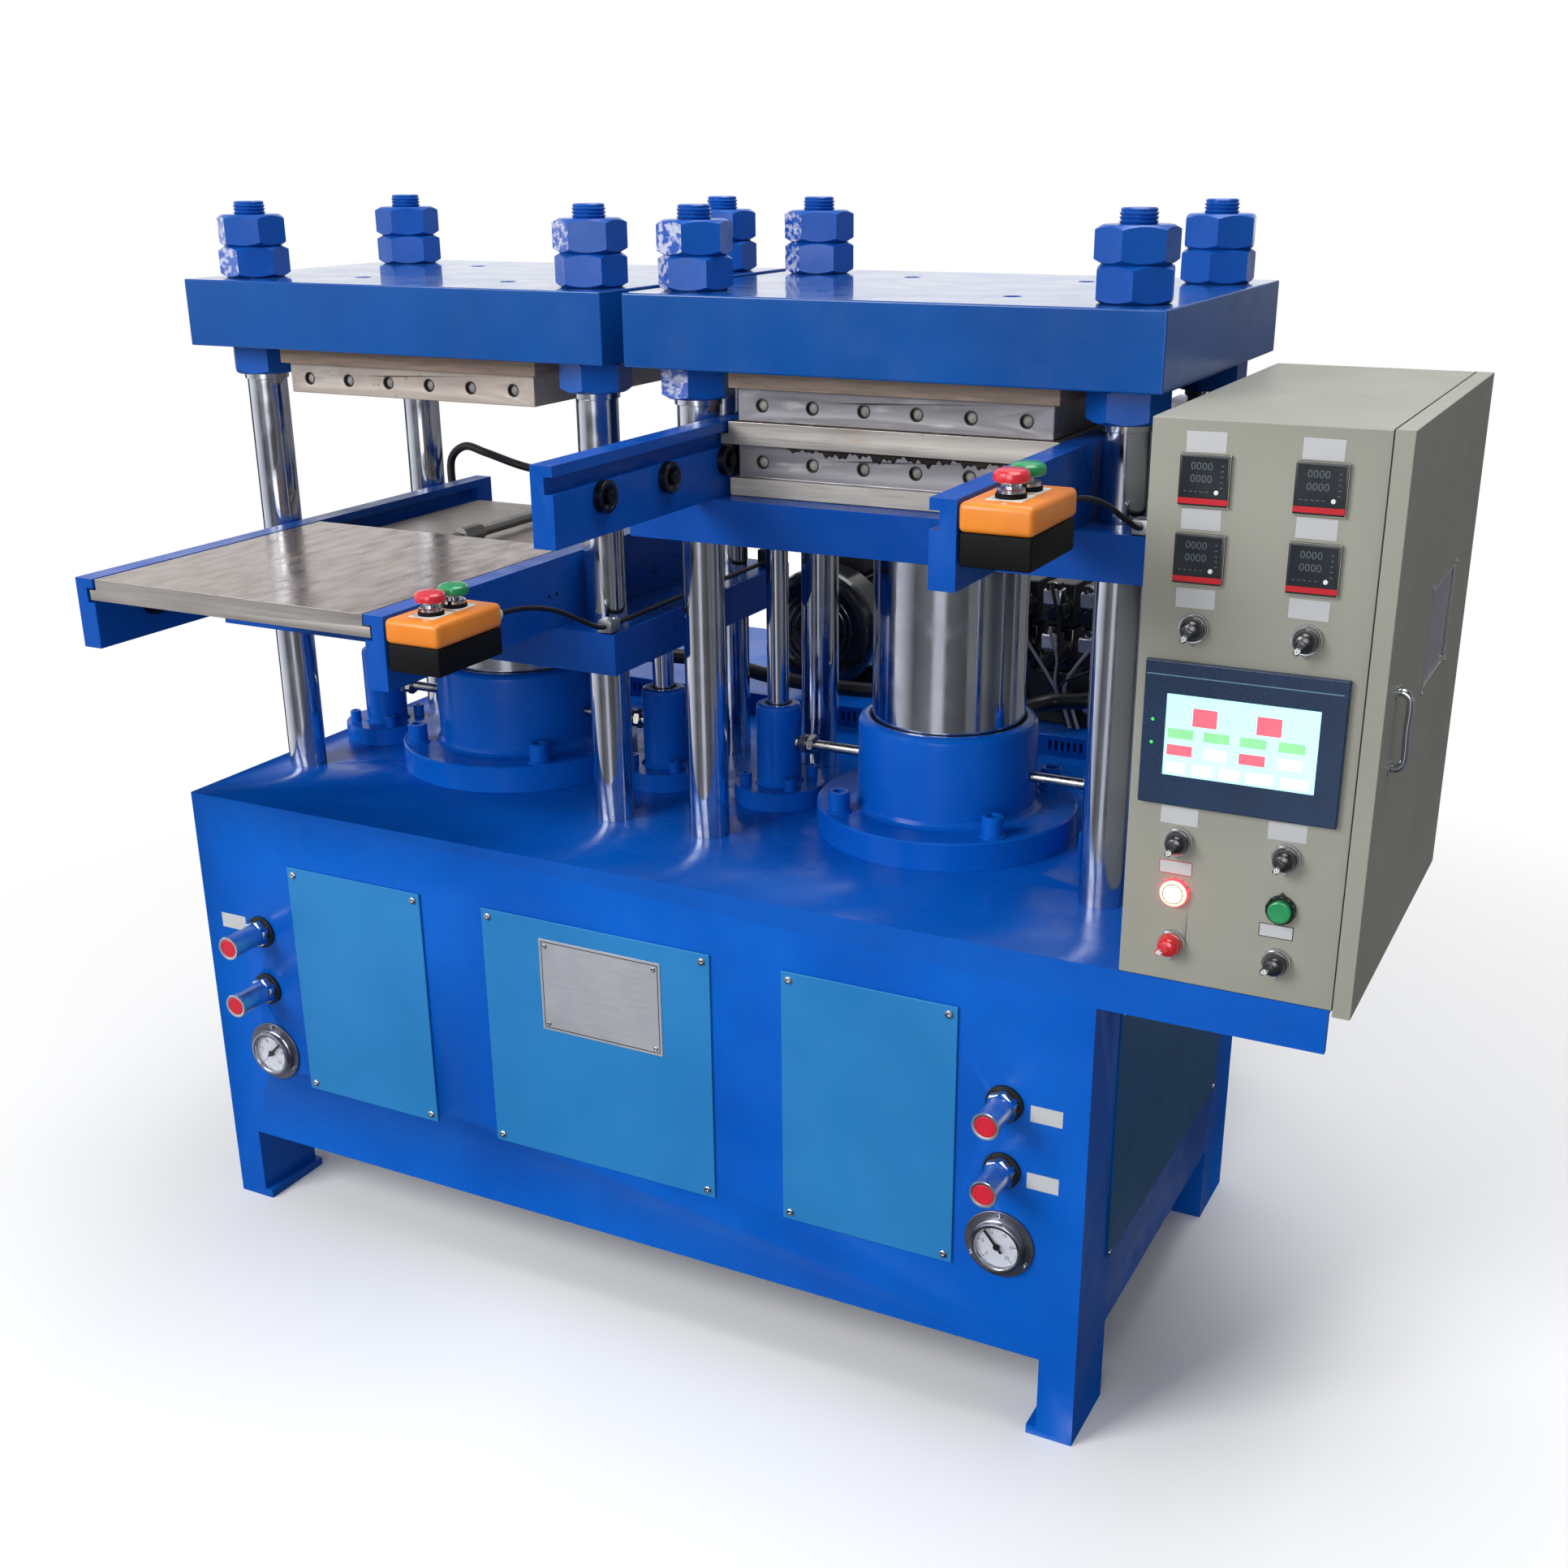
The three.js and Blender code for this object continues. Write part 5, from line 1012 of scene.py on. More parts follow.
for side in sides:
    for level, body in (("upper", "frame"), ("lower", f"{side}_table_assembly")):
        node = f"{side}_{level}_heating_plate"
        low, high = corners_of(node)
        middle_x = (low.x + high.x) / 2
        slab = solid_of(node, whole_faces=False)

        def at_front_or_back(edge):
            """Whether an edge runs along the slab's front or back."""
            return all(corner.co.y < low.y + 9 or corner.co.y > high.y - 9 for corner in edge.verts)

        ease_edges(slab, 1.2, picked=at_front_or_back)
        board_low = high.z - board_thickness if level == "upper" else low.z
        board_high = board_low + board_thickness
        coat_region(
            slab, 1, (low.x - 1, low.y - 1, board_low - 0.05), (high.x + 1, high.y + 1, board_high + 0.05),
        )
        for face in slab.faces:
            centre = face.calc_center_median()
            inside = abs(centre.x - middle_x) < (high.x - low.x) / 2 - board_reach + 0.5
            plate_side = centre.z < board_low + 0.1 if level == "upper" else centre.z > board_high - 0.1
            if plate_side and inside:
                face.material_index = 0
        half_plate = plate_thickness / 2
        heater_z = board_low - half_plate if level == "upper" else board_high + half_plate
        sleeve, core = heaters["sleeve"], heaters["core"]
        for heater in range(heaters["count"]):
            along = (heater - (heaters["count"] - 1) / 2) * heaters["pitch"]
            spot = (middle_x + along, low.y + board_reach, heater_z)
            turn(slab, [
                (sleeve - 0.4, -1), (sleeve, 0.25), (core + 0.6, 0.3), (core, -0.4), (core, -5),
            ], spot, forwards, finish=2, steps=28)
            core_end = [(core, -5), (core - 1, -3.6), (1.5, -3.4), (0, -2.6)]
            turn(slab, core_end, spot, forwards, finish=3, steps=28)
        if (side, level) == ("right", "lower"):
            residue(slab, low.x + board_reach + 60, high.x - board_reach - 20, low.y + board_reach, high.z)
        finishes = [plate_steel_with_lit_left[side], boards[level], heater_sleeve, heater_end, residue_brown]
        finished(f"{node}_slab", slab, body, finishes, [node])

# Guide rails: bars with a groove for the mould plate's tongues, bolted to the table and painted;
# three hardened rollers on hexagon pins under each groove carry the plate when it is pulled out.
roller = {"radius": 17, "width": 9, "axis": 39.9, "starts": (86, 212, 338)}
bolt_starts = (62, 402, 546)
oil_holes = (304, 320)
roller_steel = metal("roller_steel", (70, 72, 76), (50, 52, 56), roughness=0.3, per_metre=80, spots=0.4)
pin_black = metal("pin_black", (52, 52, 56), (36, 36, 40), roughness=0.35)
rail_blue = enamel("rail_blue", (8, 76, 166), (6, 68, 152), roughness=0.28, gloss=0.18)

for side in sides:
    x, y, top = station_of(side)
    for hand, inward in (("left", 1), ("right", -1)):
        node = f"{side}_station_{hand}_guide_rail"
        low, high = corners_of(node)
        rail = solid_of(node)
        radius, width = roller["radius"], roller["width"]
        outer_x, inner_x = (low.x, high.x) if inward > 0 else (high.x, low.x)
        face_x = inner_x - inward * width
        start, end = sorted((face_x + inward * 0.1, inner_x + inward))
        drop_region(rail, (start, low.y, low.z), (end, high.y, high.z))
        ease_edges(rail, 1.2)
        for along in roller["starts"]:
            seat = (face_x, low.y + along, top + roller["axis"])
            turn(rail, [
                (0, -0.5), (radius - 1, -0.5), (radius, 0.6), (radius, width - 1.2), (radius - 1.2, width),
                (radius - 4.5, width), (radius - 5, width - 0.8), (0, width - 0.8),
            ], seat, (inward, 0, 0), finish=1)
            pin = (face_x + inward * (width - 1), seat[1], seat[2])
            nut(rail, 6.6, 4, 2, pin, (inward, 0, 0), finish=2, turned_by=0.2 * along)
            turn(rail, [(0, 0), (2.4, 0), (2.4, 3.4), (0, 3.4)], pin, (inward, 0, 0), finish=2, steps=16)
        for along in bolt_starts:
            socket = (outer_x + inward * 0.4, low.y + along, top + 26)
            profile = [(0, 0), (7.4, 0), (7.4, 0.5), (6.8, 0.7), (5, 0.7), (5, -3), (0, -3)]
            turn(rail, profile, socket, (-inward, 0, 0), finish=2, steps=24)
        for along in oil_holes:
            hole = (outer_x, low.y + along, top + roller["axis"])
            turn(rail, [(0, 0.2), (2.3, 0.2), (2.8, -0.3)], hole, (-inward, 0, 0), finish=2, steps=16)
        body, finishes = f"{side}_table_assembly", [rail_blue, roller_steel, pin_black]
        finished(f"{side}_{hand}_rail", rail, body, finishes, [node])

# Mould plates: polished steel plates that carry the moulds, stained brown by heat and cured rubber,
# with tongues along both sides, and a stud, coupling and rod to the slide cylinder at the back.


def stained_steel(name, main, second, roughness, grain):
    """Polished plate: a warm sheen, milled lines, and tide marks of brown residue."""
    stains = ((142, 112, 84), (11, 8, (1, 1, 3)), 0.58, 0.7, 0, 0.45)
    specks = ((96, 74, 58), (60, 5), 0.68, 0.76, 0, 0.5)
    return worked_finish(
        name, {"Metallic": 0.75}, (main, second), tone=((4, 4), 0.3, 0.7),
        smears=((60, 6, grain), 0.3, 0.7, roughness - 0.07, roughness + 0.13),
        skin=((300, 5, grain), 0.0018), marks=[stains, specks],
    )


mould_top = stained_steel("mould_top", (156, 139, 129), (140, 124, 115), 0.2, (1, 0.3, 1))
mould_edge = stained_steel("mould_edge", (168, 164, 158), (142, 138, 134), 0.36, (0.2, 1, 6))

for side in sides:
    node = f"{side}_mould_plate"
    low, high = corners_of(node)
    mould = solid_of(node)
    ease_edges(mould, 0.8)
    for face in mould.faces:
        if face.calc_center_median().z < high.z - 0.05:
            face.material_index = 1
    finished(f"{side}_mould_carrier", mould, f"{side}_mould", [mould_top, mould_edge], [node])

# Control boxes: an orange moulded lid on a black base, screwed to each right-hand rail, with a red
# and a green mushroom button on chrome and black collars, and a black lead clipped along the table.
box = {"left": 223.3, "front": -536, "width": 70, "length": 115, "seam": 53.2, "base": 30, "lid": 27}
collar_height = 9
collar_radius = 14
head_radius = 16.5
head_height = 12
head_root = 11.5
lead_route = [
    (272.3, -425, 62), (274.3, -400, 62), (276.3, -350, 57), (281.3, -300, 43), (288, -262, 24),
    (294, -236, 11), (294, -212, 8), (294, -100, 8), (294, 60, 8), (294, 190, 8),
]


def moulded(name, main, second, roughness=0.4, coat=0.15, gloss=0.5):
    """Moulded plastic with a faint spark-eroded grain."""
    levels = {"Specular IOR Level": gloss, "Coat Weight": coat, "Coat Roughness": 0.2}
    grain = (900, 2)
    smears = (grain, 0.3, 0.7, roughness - 0.05, roughness + 0.08)
    return worked_finish(name, levels, (main, second), ((16, 4), 0.35, 0.65), smears, (grain, 0.05))


lid_orange = moulded("lid_orange", (226, 132, 30), (214, 120, 26))
base_black = moulded("base_black", (10, 10, 11), (14, 14, 16), roughness=0.55, coat=0.0, gloss=0.12)
label_pale = moulded("label_pale", (214, 216, 210), (202, 204, 198), roughness=0.5, coat=0.0)
gland_grey = moulded("gland_grey", (196, 196, 188), (182, 182, 174), roughness=0.45)
clip_grey = metal("clip_grey", (176, 178, 182), (150, 152, 158), roughness=0.35)
button_plastic = {
    "red": moulded("button_red", (204, 36, 50), (190, 30, 44), roughness=0.25, coat=0.5),
    "green": moulded("button_green", (26, 142, 84), (22, 128, 74), roughness=0.25, coat=0.5),
}

for side in sides:
    x, y, top = station_of(side)
    left_edge = x + box["left"]
    front_edge = y + box["front"]
    back_edge = front_edge + box["length"]
    right_edge = left_edge + box["width"]
    middle = left_edge + box["width"] / 2
    seam = top + box["seam"]
    lid_top = seam + box["lid"]
    housing = bmesh.new()
    block(
        housing, (left_edge + 1.5, front_edge + 1.5, seam - box["base"]),
        (right_edge - 1.5, back_edge - 1.5, seam + 0.5), finish=1, edge=2.5, segments=3,
    )
    block(housing, (left_edge, front_edge, seam + 0.2), (right_edge, back_edge, lid_top), edge=6, segments=5)
    for colour_name, along in (("red", 37), ("green", 77)):
        at = (middle, front_edge + along, lid_top)
        block(
            housing, (middle - 17, at[1] - 17.5, lid_top - 0.2), (middle + 17, at[1] + 17.5, lid_top + 0.7),
            finish=2, edge=0.3,
        )
        collar_profile = [(0, 0.5), (collar_radius, 0.5), (collar_radius, 4), (collar_radius - 1, 5), (0, 5)]
        turn(housing, collar_profile, at, finish=1, steps=40)
        ring_profile = [
            (0, 5), (12.6, 5), (12.6, collar_height - 0.8), (11.8, collar_height), (6.4, collar_height),
        ]
        turn(housing, ring_profile, at, finish=3, steps=40)
        button_node = f"{side}_{colour_name}_button"
        head_low, head_high = corners_of(button_node)
        under = head_high.z - head_height
        button = bmesh.new()
        turn(button, [
            (0, head_low.z), (5.8, head_low.z), (5.8, under), (9, under), (9, under - 1),
            (head_root, under - 1), (head_root, under + 0.4),
        ], (at[0], at[1], 0), finish=1, steps=40)
        turn(button, [
            (head_root, under + 0.4), (head_radius - 1.4, under + 0.4), (head_radius - 0.3, under + 1.2),
            (head_radius, under + 2.6), (head_radius, under + 6), (head_radius - 0.6, under + 8.2),
            (head_radius - 2.4, under + 10), (head_radius - 5.4, under + 11.2),
            (head_radius - 10, under + 11.8), (0, under + 12),
        ], (at[0], at[1], 0), steps=56)
        finished(
            f"{side}_{colour_name}_mushroom_button", button, f"{side}_{colour_name}_button_head",
            [button_plastic[colour_name], chrome], [button_node],
        )
    line = [point + Vector((x, y, top)) for point in smooth_route(lead_route)]
    tube(housing, line, 3, finish=4, sides=14)
    turn(housing, [
        (0, 0), (9.5, 0), (9.5, 7), (8.4, 8), (8.4, 9), (9, 9.4), (9, 14), (7.4, 19), (4.2, 23), (3, 23),
    ], (x + 272.6, back_edge - 1, top + 62), (0.03, 1, -0.03), finish=5, steps=32)
    clip = Vector((x + 294, y - 224.7, top + table_fit))
    block(housing, clip - Vector((10, 0, 0)), clip + Vector((10, 22, 16)), finish=6, edge=2.5, segments=3)
    domed_screw(housing, clip + Vector((5, 16, 16)), (0, 0, 1), 3, 1.6, finish=3)
    lead_end = Vector((x + 282, y + 181, top + table_fit))
    block(housing, lead_end, lead_end + Vector((24, 24, 24)), finish=1, edge=2, segments=3)
    finished(
        f"{side}_button_box", housing, f"{side}_table_assembly",
        [lid_orange, base_black, label_pale, chrome, cable_black, gland_grey, clip_grey],
        [f"{side}_control_box"],
    )

# Crowns: the heavy top plates that take the press force, held between nuts on the tie rods, in thick
# glossy enamel; four sunk cap screws in each hold the upper heating plate and its board.
crown_screws = (110, 120)
# The crowns take a darker copy of the press's blue: painted shade, as they stand in less light than the base.
# The top faces take the same darker shades under a clear coat.
crown_shaded_blue = enamel("crown_shaded_blue", (10, 76, 150), (8, 68, 138), roughness=0.2, peel=0.03, gloss=0.3)
crown_shaded_sheen = enamel(
    "crown_shaded_sheen", (10, 76, 150), (8, 68, 138), roughness=0.24, coat=0.8, peel=0.0, gloss=0.6,
)

for side in sides:
    x, y, top = station_of(side)
    node = f"{side}_crown_plate"
    crown = solid_of(node)
    ease_edges(crown, 3, segments=3)
    for face in crown.faces:
        if face.normal.z > 0.9:
            face.material_index = 2
    for x_way in (-1, 1):
        for y_way in (-1, 1):
            spot = (x + x_way * crown_screws[0], y + y_way * crown_screws[1], crown_top - 10)
            turn(crown, [(8.6, 9), (9.3, 10.15), (10.2, 10.2), (10.8, 9.9)], spot, steps=36)
            socket_screw(crown, spot, (0, 0, 1), 7.6, 7.6, finish=1)
    finishes = [crown_shaded_blue, pin_black, crown_shaded_sheen]
    finished(f"{side}_crown", crown, "frame", finishes, [node], smooth=7)

# Oil tank: a folded steel box on four feet behind the base, welded, painted with the press, with
# groups of vent slots under the edge of its lid.
tank = solid_of("oil_tank")
ease_edges(tank, 1.6, picked=lambda edge: edge.calc_length() > 20)
finished("oil_tank_shell", tank, "frame", [press_blue], ["oil_tank"])

# Power unit on the tank's lid: a black finned motor behind its fan cowl, a pump and pipes, a valve
# block with three double valves, coils and silver plugs, and a hose to each main cylinder.
motor_black = enamel("motor_black", (20, 22, 26), (28, 30, 34), roughness=0.2, coat=0.6, peel=0.08)
cast_black = enamel("cast_black", (24, 25, 28), (36, 37, 40), roughness=0.5, coat=0.1, peel=0.3)
plug_silver = metal("plug_silver", (206, 208, 210), (176, 178, 182), roughness=0.28)
wire_grey = enamel("wire_grey", (150, 152, 154), (124, 126, 130), roughness=0.5)
hose_black = enamel("hose_black", (22, 23, 25), (32, 33, 36), roughness=0.38, coat=0.15, peel=0.1)
backwards = (0, 1, 0)
tank_low, tank_high = corners_of("oil_tank")
motor_x, motor_y, motor_z = tank_low.x + 335, tank_low.y + 49.7, tank_high.z + 95
cowl_radius = 90
fins = {"root": 72, "tip": 84, "count": 32, "start": 60, "end": 170}
valve_left = tank_high.x - 230
valve_front = tank_low.y + 49.7
valve_block = {"width": 160, "depth": 100, "height": 76}
valve_pitch = valve_block["width"] / 3
valve_height = 62
hose_radius = 11

unit = bmesh.new()
lid = tank_high.z + 0.3
cowl = (motor_x, motor_y, motor_z)
fin_root = fins["root"]
turn(unit, [
    (0, 4), (14, 4), (16, 2.4), (60, 2.4), (66, 0.6), (74, 0), (82, 1.6), (87.4, 5.4), (cowl_radius, 11),
    (cowl_radius, 56), (cowl_radius - 2, 58), (fin_root, 58),
], cowl, backwards, steps=96)
for ring in (24, 34, 44, 54):
    profile = [(ring, 2.6), (ring, 0.4), (ring + 1.6, -0.1), (ring + 3.2, 0.4), (ring + 3.2, 2.6)]
    turn(unit, profile, cowl, backwards, steps=72)
for spoke in range(8):
    web = bar((-1.5, 0.6, 14), (1.5, 2.6, 60), edge=0.4)
    join_in(unit, tilted(web, math.radians(45 * spoke)), cowl)
turn(
    unit, [(0, 58), (fin_root, 58), (fin_root, fins["end"]), (0, fins["end"])], cowl, backwards,
    finish=1, steps=64,
)
for fin in range(fins["count"]):
    fin_low = (-1.4, motor_y + fins["start"], fin_root - 2)
    blade = bar(fin_low, (1.4, motor_y + fins["end"], fins["tip"]), edge=0.6)
    join_in(unit, tilted(blade, math.tau * fin / fins["count"]), (motor_x, 0, motor_z), finish=1)
end_shield = [(0, 168), (56, 168), (60, 171), (60, 187), (57, 190), (0, 190)]
turn(unit, end_shield, cowl, backwards, finish=1, steps=64)


def motor_block(across, start, end, foot, height, **look):
    """A block that stands the same distance out on both sides of the motor's axis."""
    block(unit, (motor_x - across, motor_y + start, foot), (motor_x + across, motor_y + end, height), **look)


motor_block(75, 70, 150, lid, lid + 12, finish=1, edge=2)
for way in (-1, 1):
    foot_x = motor_x + way * 50
    block(
        unit, (foot_x - 16, motor_y + 76, lid + 10), (foot_x + 16, motor_y + 144, lid + 52), finish=1, edge=3,
    )
    for foot_y in (motor_y + 84, motor_y + 136):
        nut(unit, 8, 7, 2, (motor_x + way * 66, foot_y, lid + 12), finish=2)
terminal = motor_z + fin_root
motor_block(38, 78, 162, terminal, terminal + 40, finish=1, edge=4, segments=3)
motor_block(40, 76, 164, terminal + 38, terminal + 46, edge=2.5, segments=3)
pump_start = 189.7
pump_y = motor_y + pump_start + 45
motor_block(43, pump_start, pump_start + 20, motor_z - 48, motor_z + 48, finish=1, edge=3)
turn(
    unit, [(0, 18), (38, 18), (41, 21), (41, 84), (36, 90), (0, 90)],
    (motor_x, motor_y + pump_start, motor_z), backwards, finish=1,
)
turn(
    unit, [(0, lid), (16, lid), (16, motor_z - 36), (0, motor_z - 36)], (motor_x, pump_y, 0),
    finish=1, steps=32,
)
pipe = [Vector((across, along, motor_z)) for across, along in (
    (motor_x + 38, pump_y), (valve_left + 10, pump_y), (valve_left + 28, pump_y - 4),
    (valve_left + 38, pump_y - 16), (valve_left + 40, pump_y - 36), (valve_left + 40, valve_front + 90),
)]
tube(unit, pipe, 11, finish=1, sides=20)
nut(unit, 16, 16, 10, (motor_x + 42, pump_y, motor_z), rightwards, finish=2)

base_top = lid + valve_block["height"]
valve_right, valve_back = valve_left + valve_block["width"], valve_front + valve_block["depth"]
block(unit, (valve_left, valve_front, lid), (valve_right, valve_back, base_top), finish=1, edge=2.5)
for column in range(3):
    x = valve_left + (column + 0.5) * valve_pitch
    nut(unit, 12, 9, 4, (x, valve_front - 0.1, lid + 34), forwards, finish=2, turned_by=0.4 * column)
    for level in range(2):
        foot = base_top + level * valve_height
        block(
            unit, (x - 20, valve_front + 8, foot), (x + 20, valve_front + 92, foot + valve_height - 0.5),
            finish=level, edge=2.5,
        )
        coil_z = base_top + (level + 0.45) * valve_height
        for way in (-1, 1):
            root = valve_front + (8 if way < 0 else 92)
            turn(unit, [
                (0, -2), (20, -2), (20, 3), (18, 4), (18, 34), (16, 36), (9, 36), (9, 41), (7.6, 44), (0, 44),
            ], (x, root, coil_z), (0, way, 0), steps=36)
            tip = root + way * 44
            low_y, high_y = sorted((tip, tip - way * 26))
            block(unit, (x - 13, low_y + 2, coil_z + 12), (x + 13, high_y, coil_z + 33), finish=2, edge=2)
            block(
                unit, (x - 10, low_y + 5, coil_z + 32), (x + 10, high_y - 3, coil_z + 42), finish=1, edge=1.5,
            )
            gland_way = (0.2, way * 0.9, 0.4)
            nut(unit, 6.2, 8, 2, (x, (low_y + high_y) / 2, coil_z + 34), gland_way, finish=2)
            domed_screw(unit, (x + 4, tip - way * 6, coil_z + 33), (0, 0, 1), 2.4, 1.6, finish=2)
            bend = 12 * (column - 1)
            down_x = valve_left + 6 * column + 5 * level
            wire = [
                (x, tip - way * 12, coil_z + 38), (x + 2 + bend / 3, tip + way * 6, coil_z + 44),
                (x + 6 + bend, tip + way * 8, coil_z + 30),
                (x + 14 + bend, tip + way * 6, coil_z + 4 - 10 * level),
                (down_x + 84 + 2 * column, tip + way * 2, base_top - 8),
                (down_x + 96, tip - way * 14, lid + 30), (down_x + 104, tip - way * 18, lid + 3),
            ]
            tube(unit, smooth_route(wire, steps=5), 2.4, finish=3 if (column + level) % 2 else 4, sides=8)
finished(
    "power_unit", unit, "frame",
    [motor_black, cast_black, plug_silver, wire_grey, hose_black], ["hydraulic_power_unit"],
)

for side in sides:
    x, y, top = station_of(side)
    port = Vector((x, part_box(f"{side}_main_cylinder")[1].y / mm + 0.3, bed_top + 85))
    left_valve = Vector((valve_left, valve_front, port.z))
    right_valve = Vector((valve_right, valve_front, port.z))
    if side == "left":
        starts = ((0, 0, 0), (0, 55, 0), (34, 120, -3), (122, 165, -13))
        ends = ((-320, -60, -23), (-180, -60, -23), (-80, -40, -19), (-30, 5, -15), (10, 30, -13))
        ends_at = left_valve
    else:
        starts = ((0, 0, 0), (0, 50, 1), (33, 110, 7))
        ends = (
            (10, -90, 17), (60, -35, 50), (72, 12, 105), (50, 45, 155), (6, 56, 171), (-27, 52, 145),
            (-27, 50, 105),
        )
        ends_at = right_valve
    line = smooth_route([port + Vector(step) for step in starts] + [ends_at + Vector(step) for step in ends])
    hose = bmesh.new()
    tube(hose, line, hose_radius, sides=24)
    for end, inner in ((line[0], line[1]), (line[-1], line[-2])):
        way = inner - end
        turn(hose, [
            (0, 0), (13.4, 0), (13.4, 4), (12.4, 5), (13.4, 6), (13.4, 11), (12.4, 12), (13.4, 13),
            (13.4, 30), (12.4, 32), (hose_radius, 32),
        ], end, way, finish=1, steps=36)
        nut(hose, 15.5, 12, 9, end + way.normalized(), way, finish=1)
    finished(f"{side}_pressure_hose", hose, "frame", [hose_black, plug_silver])

# Control cabinet: a folded sheet box, powder coated in warm grey, standing on the base's arm; its
# right side is open behind the door, with switchgear on a galvanised plate and hinges at the back.
cab_low, cab_high = Vector((511, -399.5, 610.3)), Vector((728, 80.5, 1172.3))
gear_low, gear_high = (537.3, -365), (616, 50)
cabinet_inside = (
    (1, (533, -365, 640), (537.2, 50, 1145)), (2, (*gear_low, 640), (*gear_high, 760)),
    (3, (*gear_low, 800), (*gear_high, 960)), (2, (*gear_low, 1000), (*gear_high, 1145)),
    (1, (700, 80.6, 610), (745, 100, 1172)),
)
cabinet_grey = worked_finish(
    "cabinet_grey", {"Specular IOR Level": 0.3}, ((150, 150, 140), (144, 144, 134)),
    tone=((3.5, 3), 0.35, 0.65), smears=((9, 5), 0.35, 0.7, 0.42, 0.58), skin=((700, 2), 0.05),
)
galvanised = metal("galvanised", (176, 180, 184), (156, 160, 166), roughness=0.42, per_metre=40)
gear_grey = moulded("gear_grey", (152, 156, 158), (138, 142, 146), roughness=0.5)
gear_white = moulded("gear_white", (206, 208, 206), (192, 194, 192), roughness=0.45)


def on_shell(edge):
    """Whether an edge is a long one between two outer faces of the cabinet."""
    return edge.calc_length() > 200 and all(
        min(abs(corner.co[i] - limit[i]) for i in range(3) for limit in (cab_low, cab_high)) < 0.1
        for corner in edge.verts
    )


cabinet = solid_of("control_cabinet")
ease_edges(cabinet, 1.4, picked=on_shell)
for finish, low, high in cabinet_inside:
    coat_region(cabinet, finish, low, high)
finishes = [cabinet_grey, galvanised, gear_grey, gear_white]
finished("cabinet_shell", cabinet, "frame", finishes, ["control_cabinet"])
# A black rubber strip along the door's seam, which also stands in as painted shade in the narrow gap.
seam_seal_and_shade = bmesh.new()
block(seam_seal_and_shade, (727.3, -399.75, 611), (728.15, -398, 1171.5), edge=0)
block(seam_seal_and_shade, (727.3, -399, 1170), (728.15, 80, 1172.5), edge=0)
finished("door_seal_and_seam_shade", seam_seal_and_shade, "frame", [rubber_black])

# Front of the cabinet: four temperature controllers with dark glass over unlit figures, a red strip
# and one round key each, and bare paper labels stuck over the controllers and switches.
columns_x = (564, 670)
controller_heights = (1117, 1044)
controller_half = 24.3
label_half = 18.6
label_rows = ((1151.6, 19), (1080.6, 19), (1006, 18.5), (788.2, 18))
framed_labels = ((columns_x[0] - 1, 733.5, 1), (columns_x[1] - 3, 684, 2))
panel = cab_low.y
controller_black = moulded("controller_black", (22, 23, 26), (30, 31, 34), roughness=0.4)
dark_glass = enamel("dark_glass", (28, 32, 38), (34, 39, 45), roughness=0.25, peel=0.0, gloss=0.3)
unlit_grey = enamel("unlit_grey", (92, 102, 108), (84, 94, 100), roughness=0.3, peel=0.0)
strip_red = enamel("strip_red", (196, 34, 44), (184, 30, 40), roughness=0.4)
key_white = moulded("key_white", (222, 224, 222), (210, 212, 210))
line_red = enamel("line_red", (190, 60, 66), (176, 52, 60), roughness=0.6)

for row, height in enumerate(controller_heights):
    for column, x in enumerate(columns_x):
        unit = bmesh.new()

        def panel_block(left, right, foot, top, proud, behind, **look):
            """A block on the panel, its sides told from the controller's middle."""
            low = (x + left, panel - proud, height + foot)
            block(unit, low, (x + right, panel - behind, height + top), **look)

        half = controller_half
        panel_block(-half, half, -half, half, 4.6, 0, edge=2.4, segments=3)
        panel_block(-21.4, 21.4, -15.6, 21.6, 4.9, 4, finish=1, edge=0.25, segments=1)
        panel_block(-23.2, 23.2, -21.6, -16.2, 4.85, 4, finish=3, edge=0.2, segments=1)
        for line_up in (13, 1.5):
            numerals(unit, "0000", 10.4, (x - 2.5, panel - 4.9, height + line_up), 2)
        for step in range(5):
            panel_block(15.5, 18, 14 - 5 * step, 15 - 5 * step, 5, 4.8, finish=2, edge=0)
            panel_block(5 * step - 18, 5 * step - 15.4, -10.5, -9.7, 5, 4.8, finish=2, edge=0)
        key = [(0, 0), (2.2, 0), (2.2, 0.8), (1.8, 1.2), (0, 1.3)]
        turn(unit, key, (x + 12.5, panel - 4.9, height - 10), forwards, finish=4, steps=24)
        finished(
            f"controller_{row + 1}_{column + 1}", unit, "frame",
            [controller_black, dark_glass, unlit_grey, strip_red, key_white],
        )

labels = bmesh.new()
for height, tall in label_rows:
    for way, x in zip((-1, 1), columns_x):
        lean = 0.012 * way * (1 if height > 1000 else -1)
        sticker = bar((-label_half, -0.12, -tall / 2), (label_half, 0.05, tall / 2), edge=0)
        join_in(labels, tilted(sticker, lean), (x - 1, panel - 0.1, height))
for x, height, edge_finish in framed_labels:
    for (across, upwards), depth, finish in (((16.8, 7.2), 0.12, edge_finish), ((16, 6.4), 0.18, 0)):
        sticker = bar((-across, -depth, -upwards), (across, 0.05, upwards), edge=0)
        join_in(labels, sticker, (x, panel - 0.1, height), finish=finish)
finished("bare_labels", labels, "frame", [paper_pale, line_red, print_black])

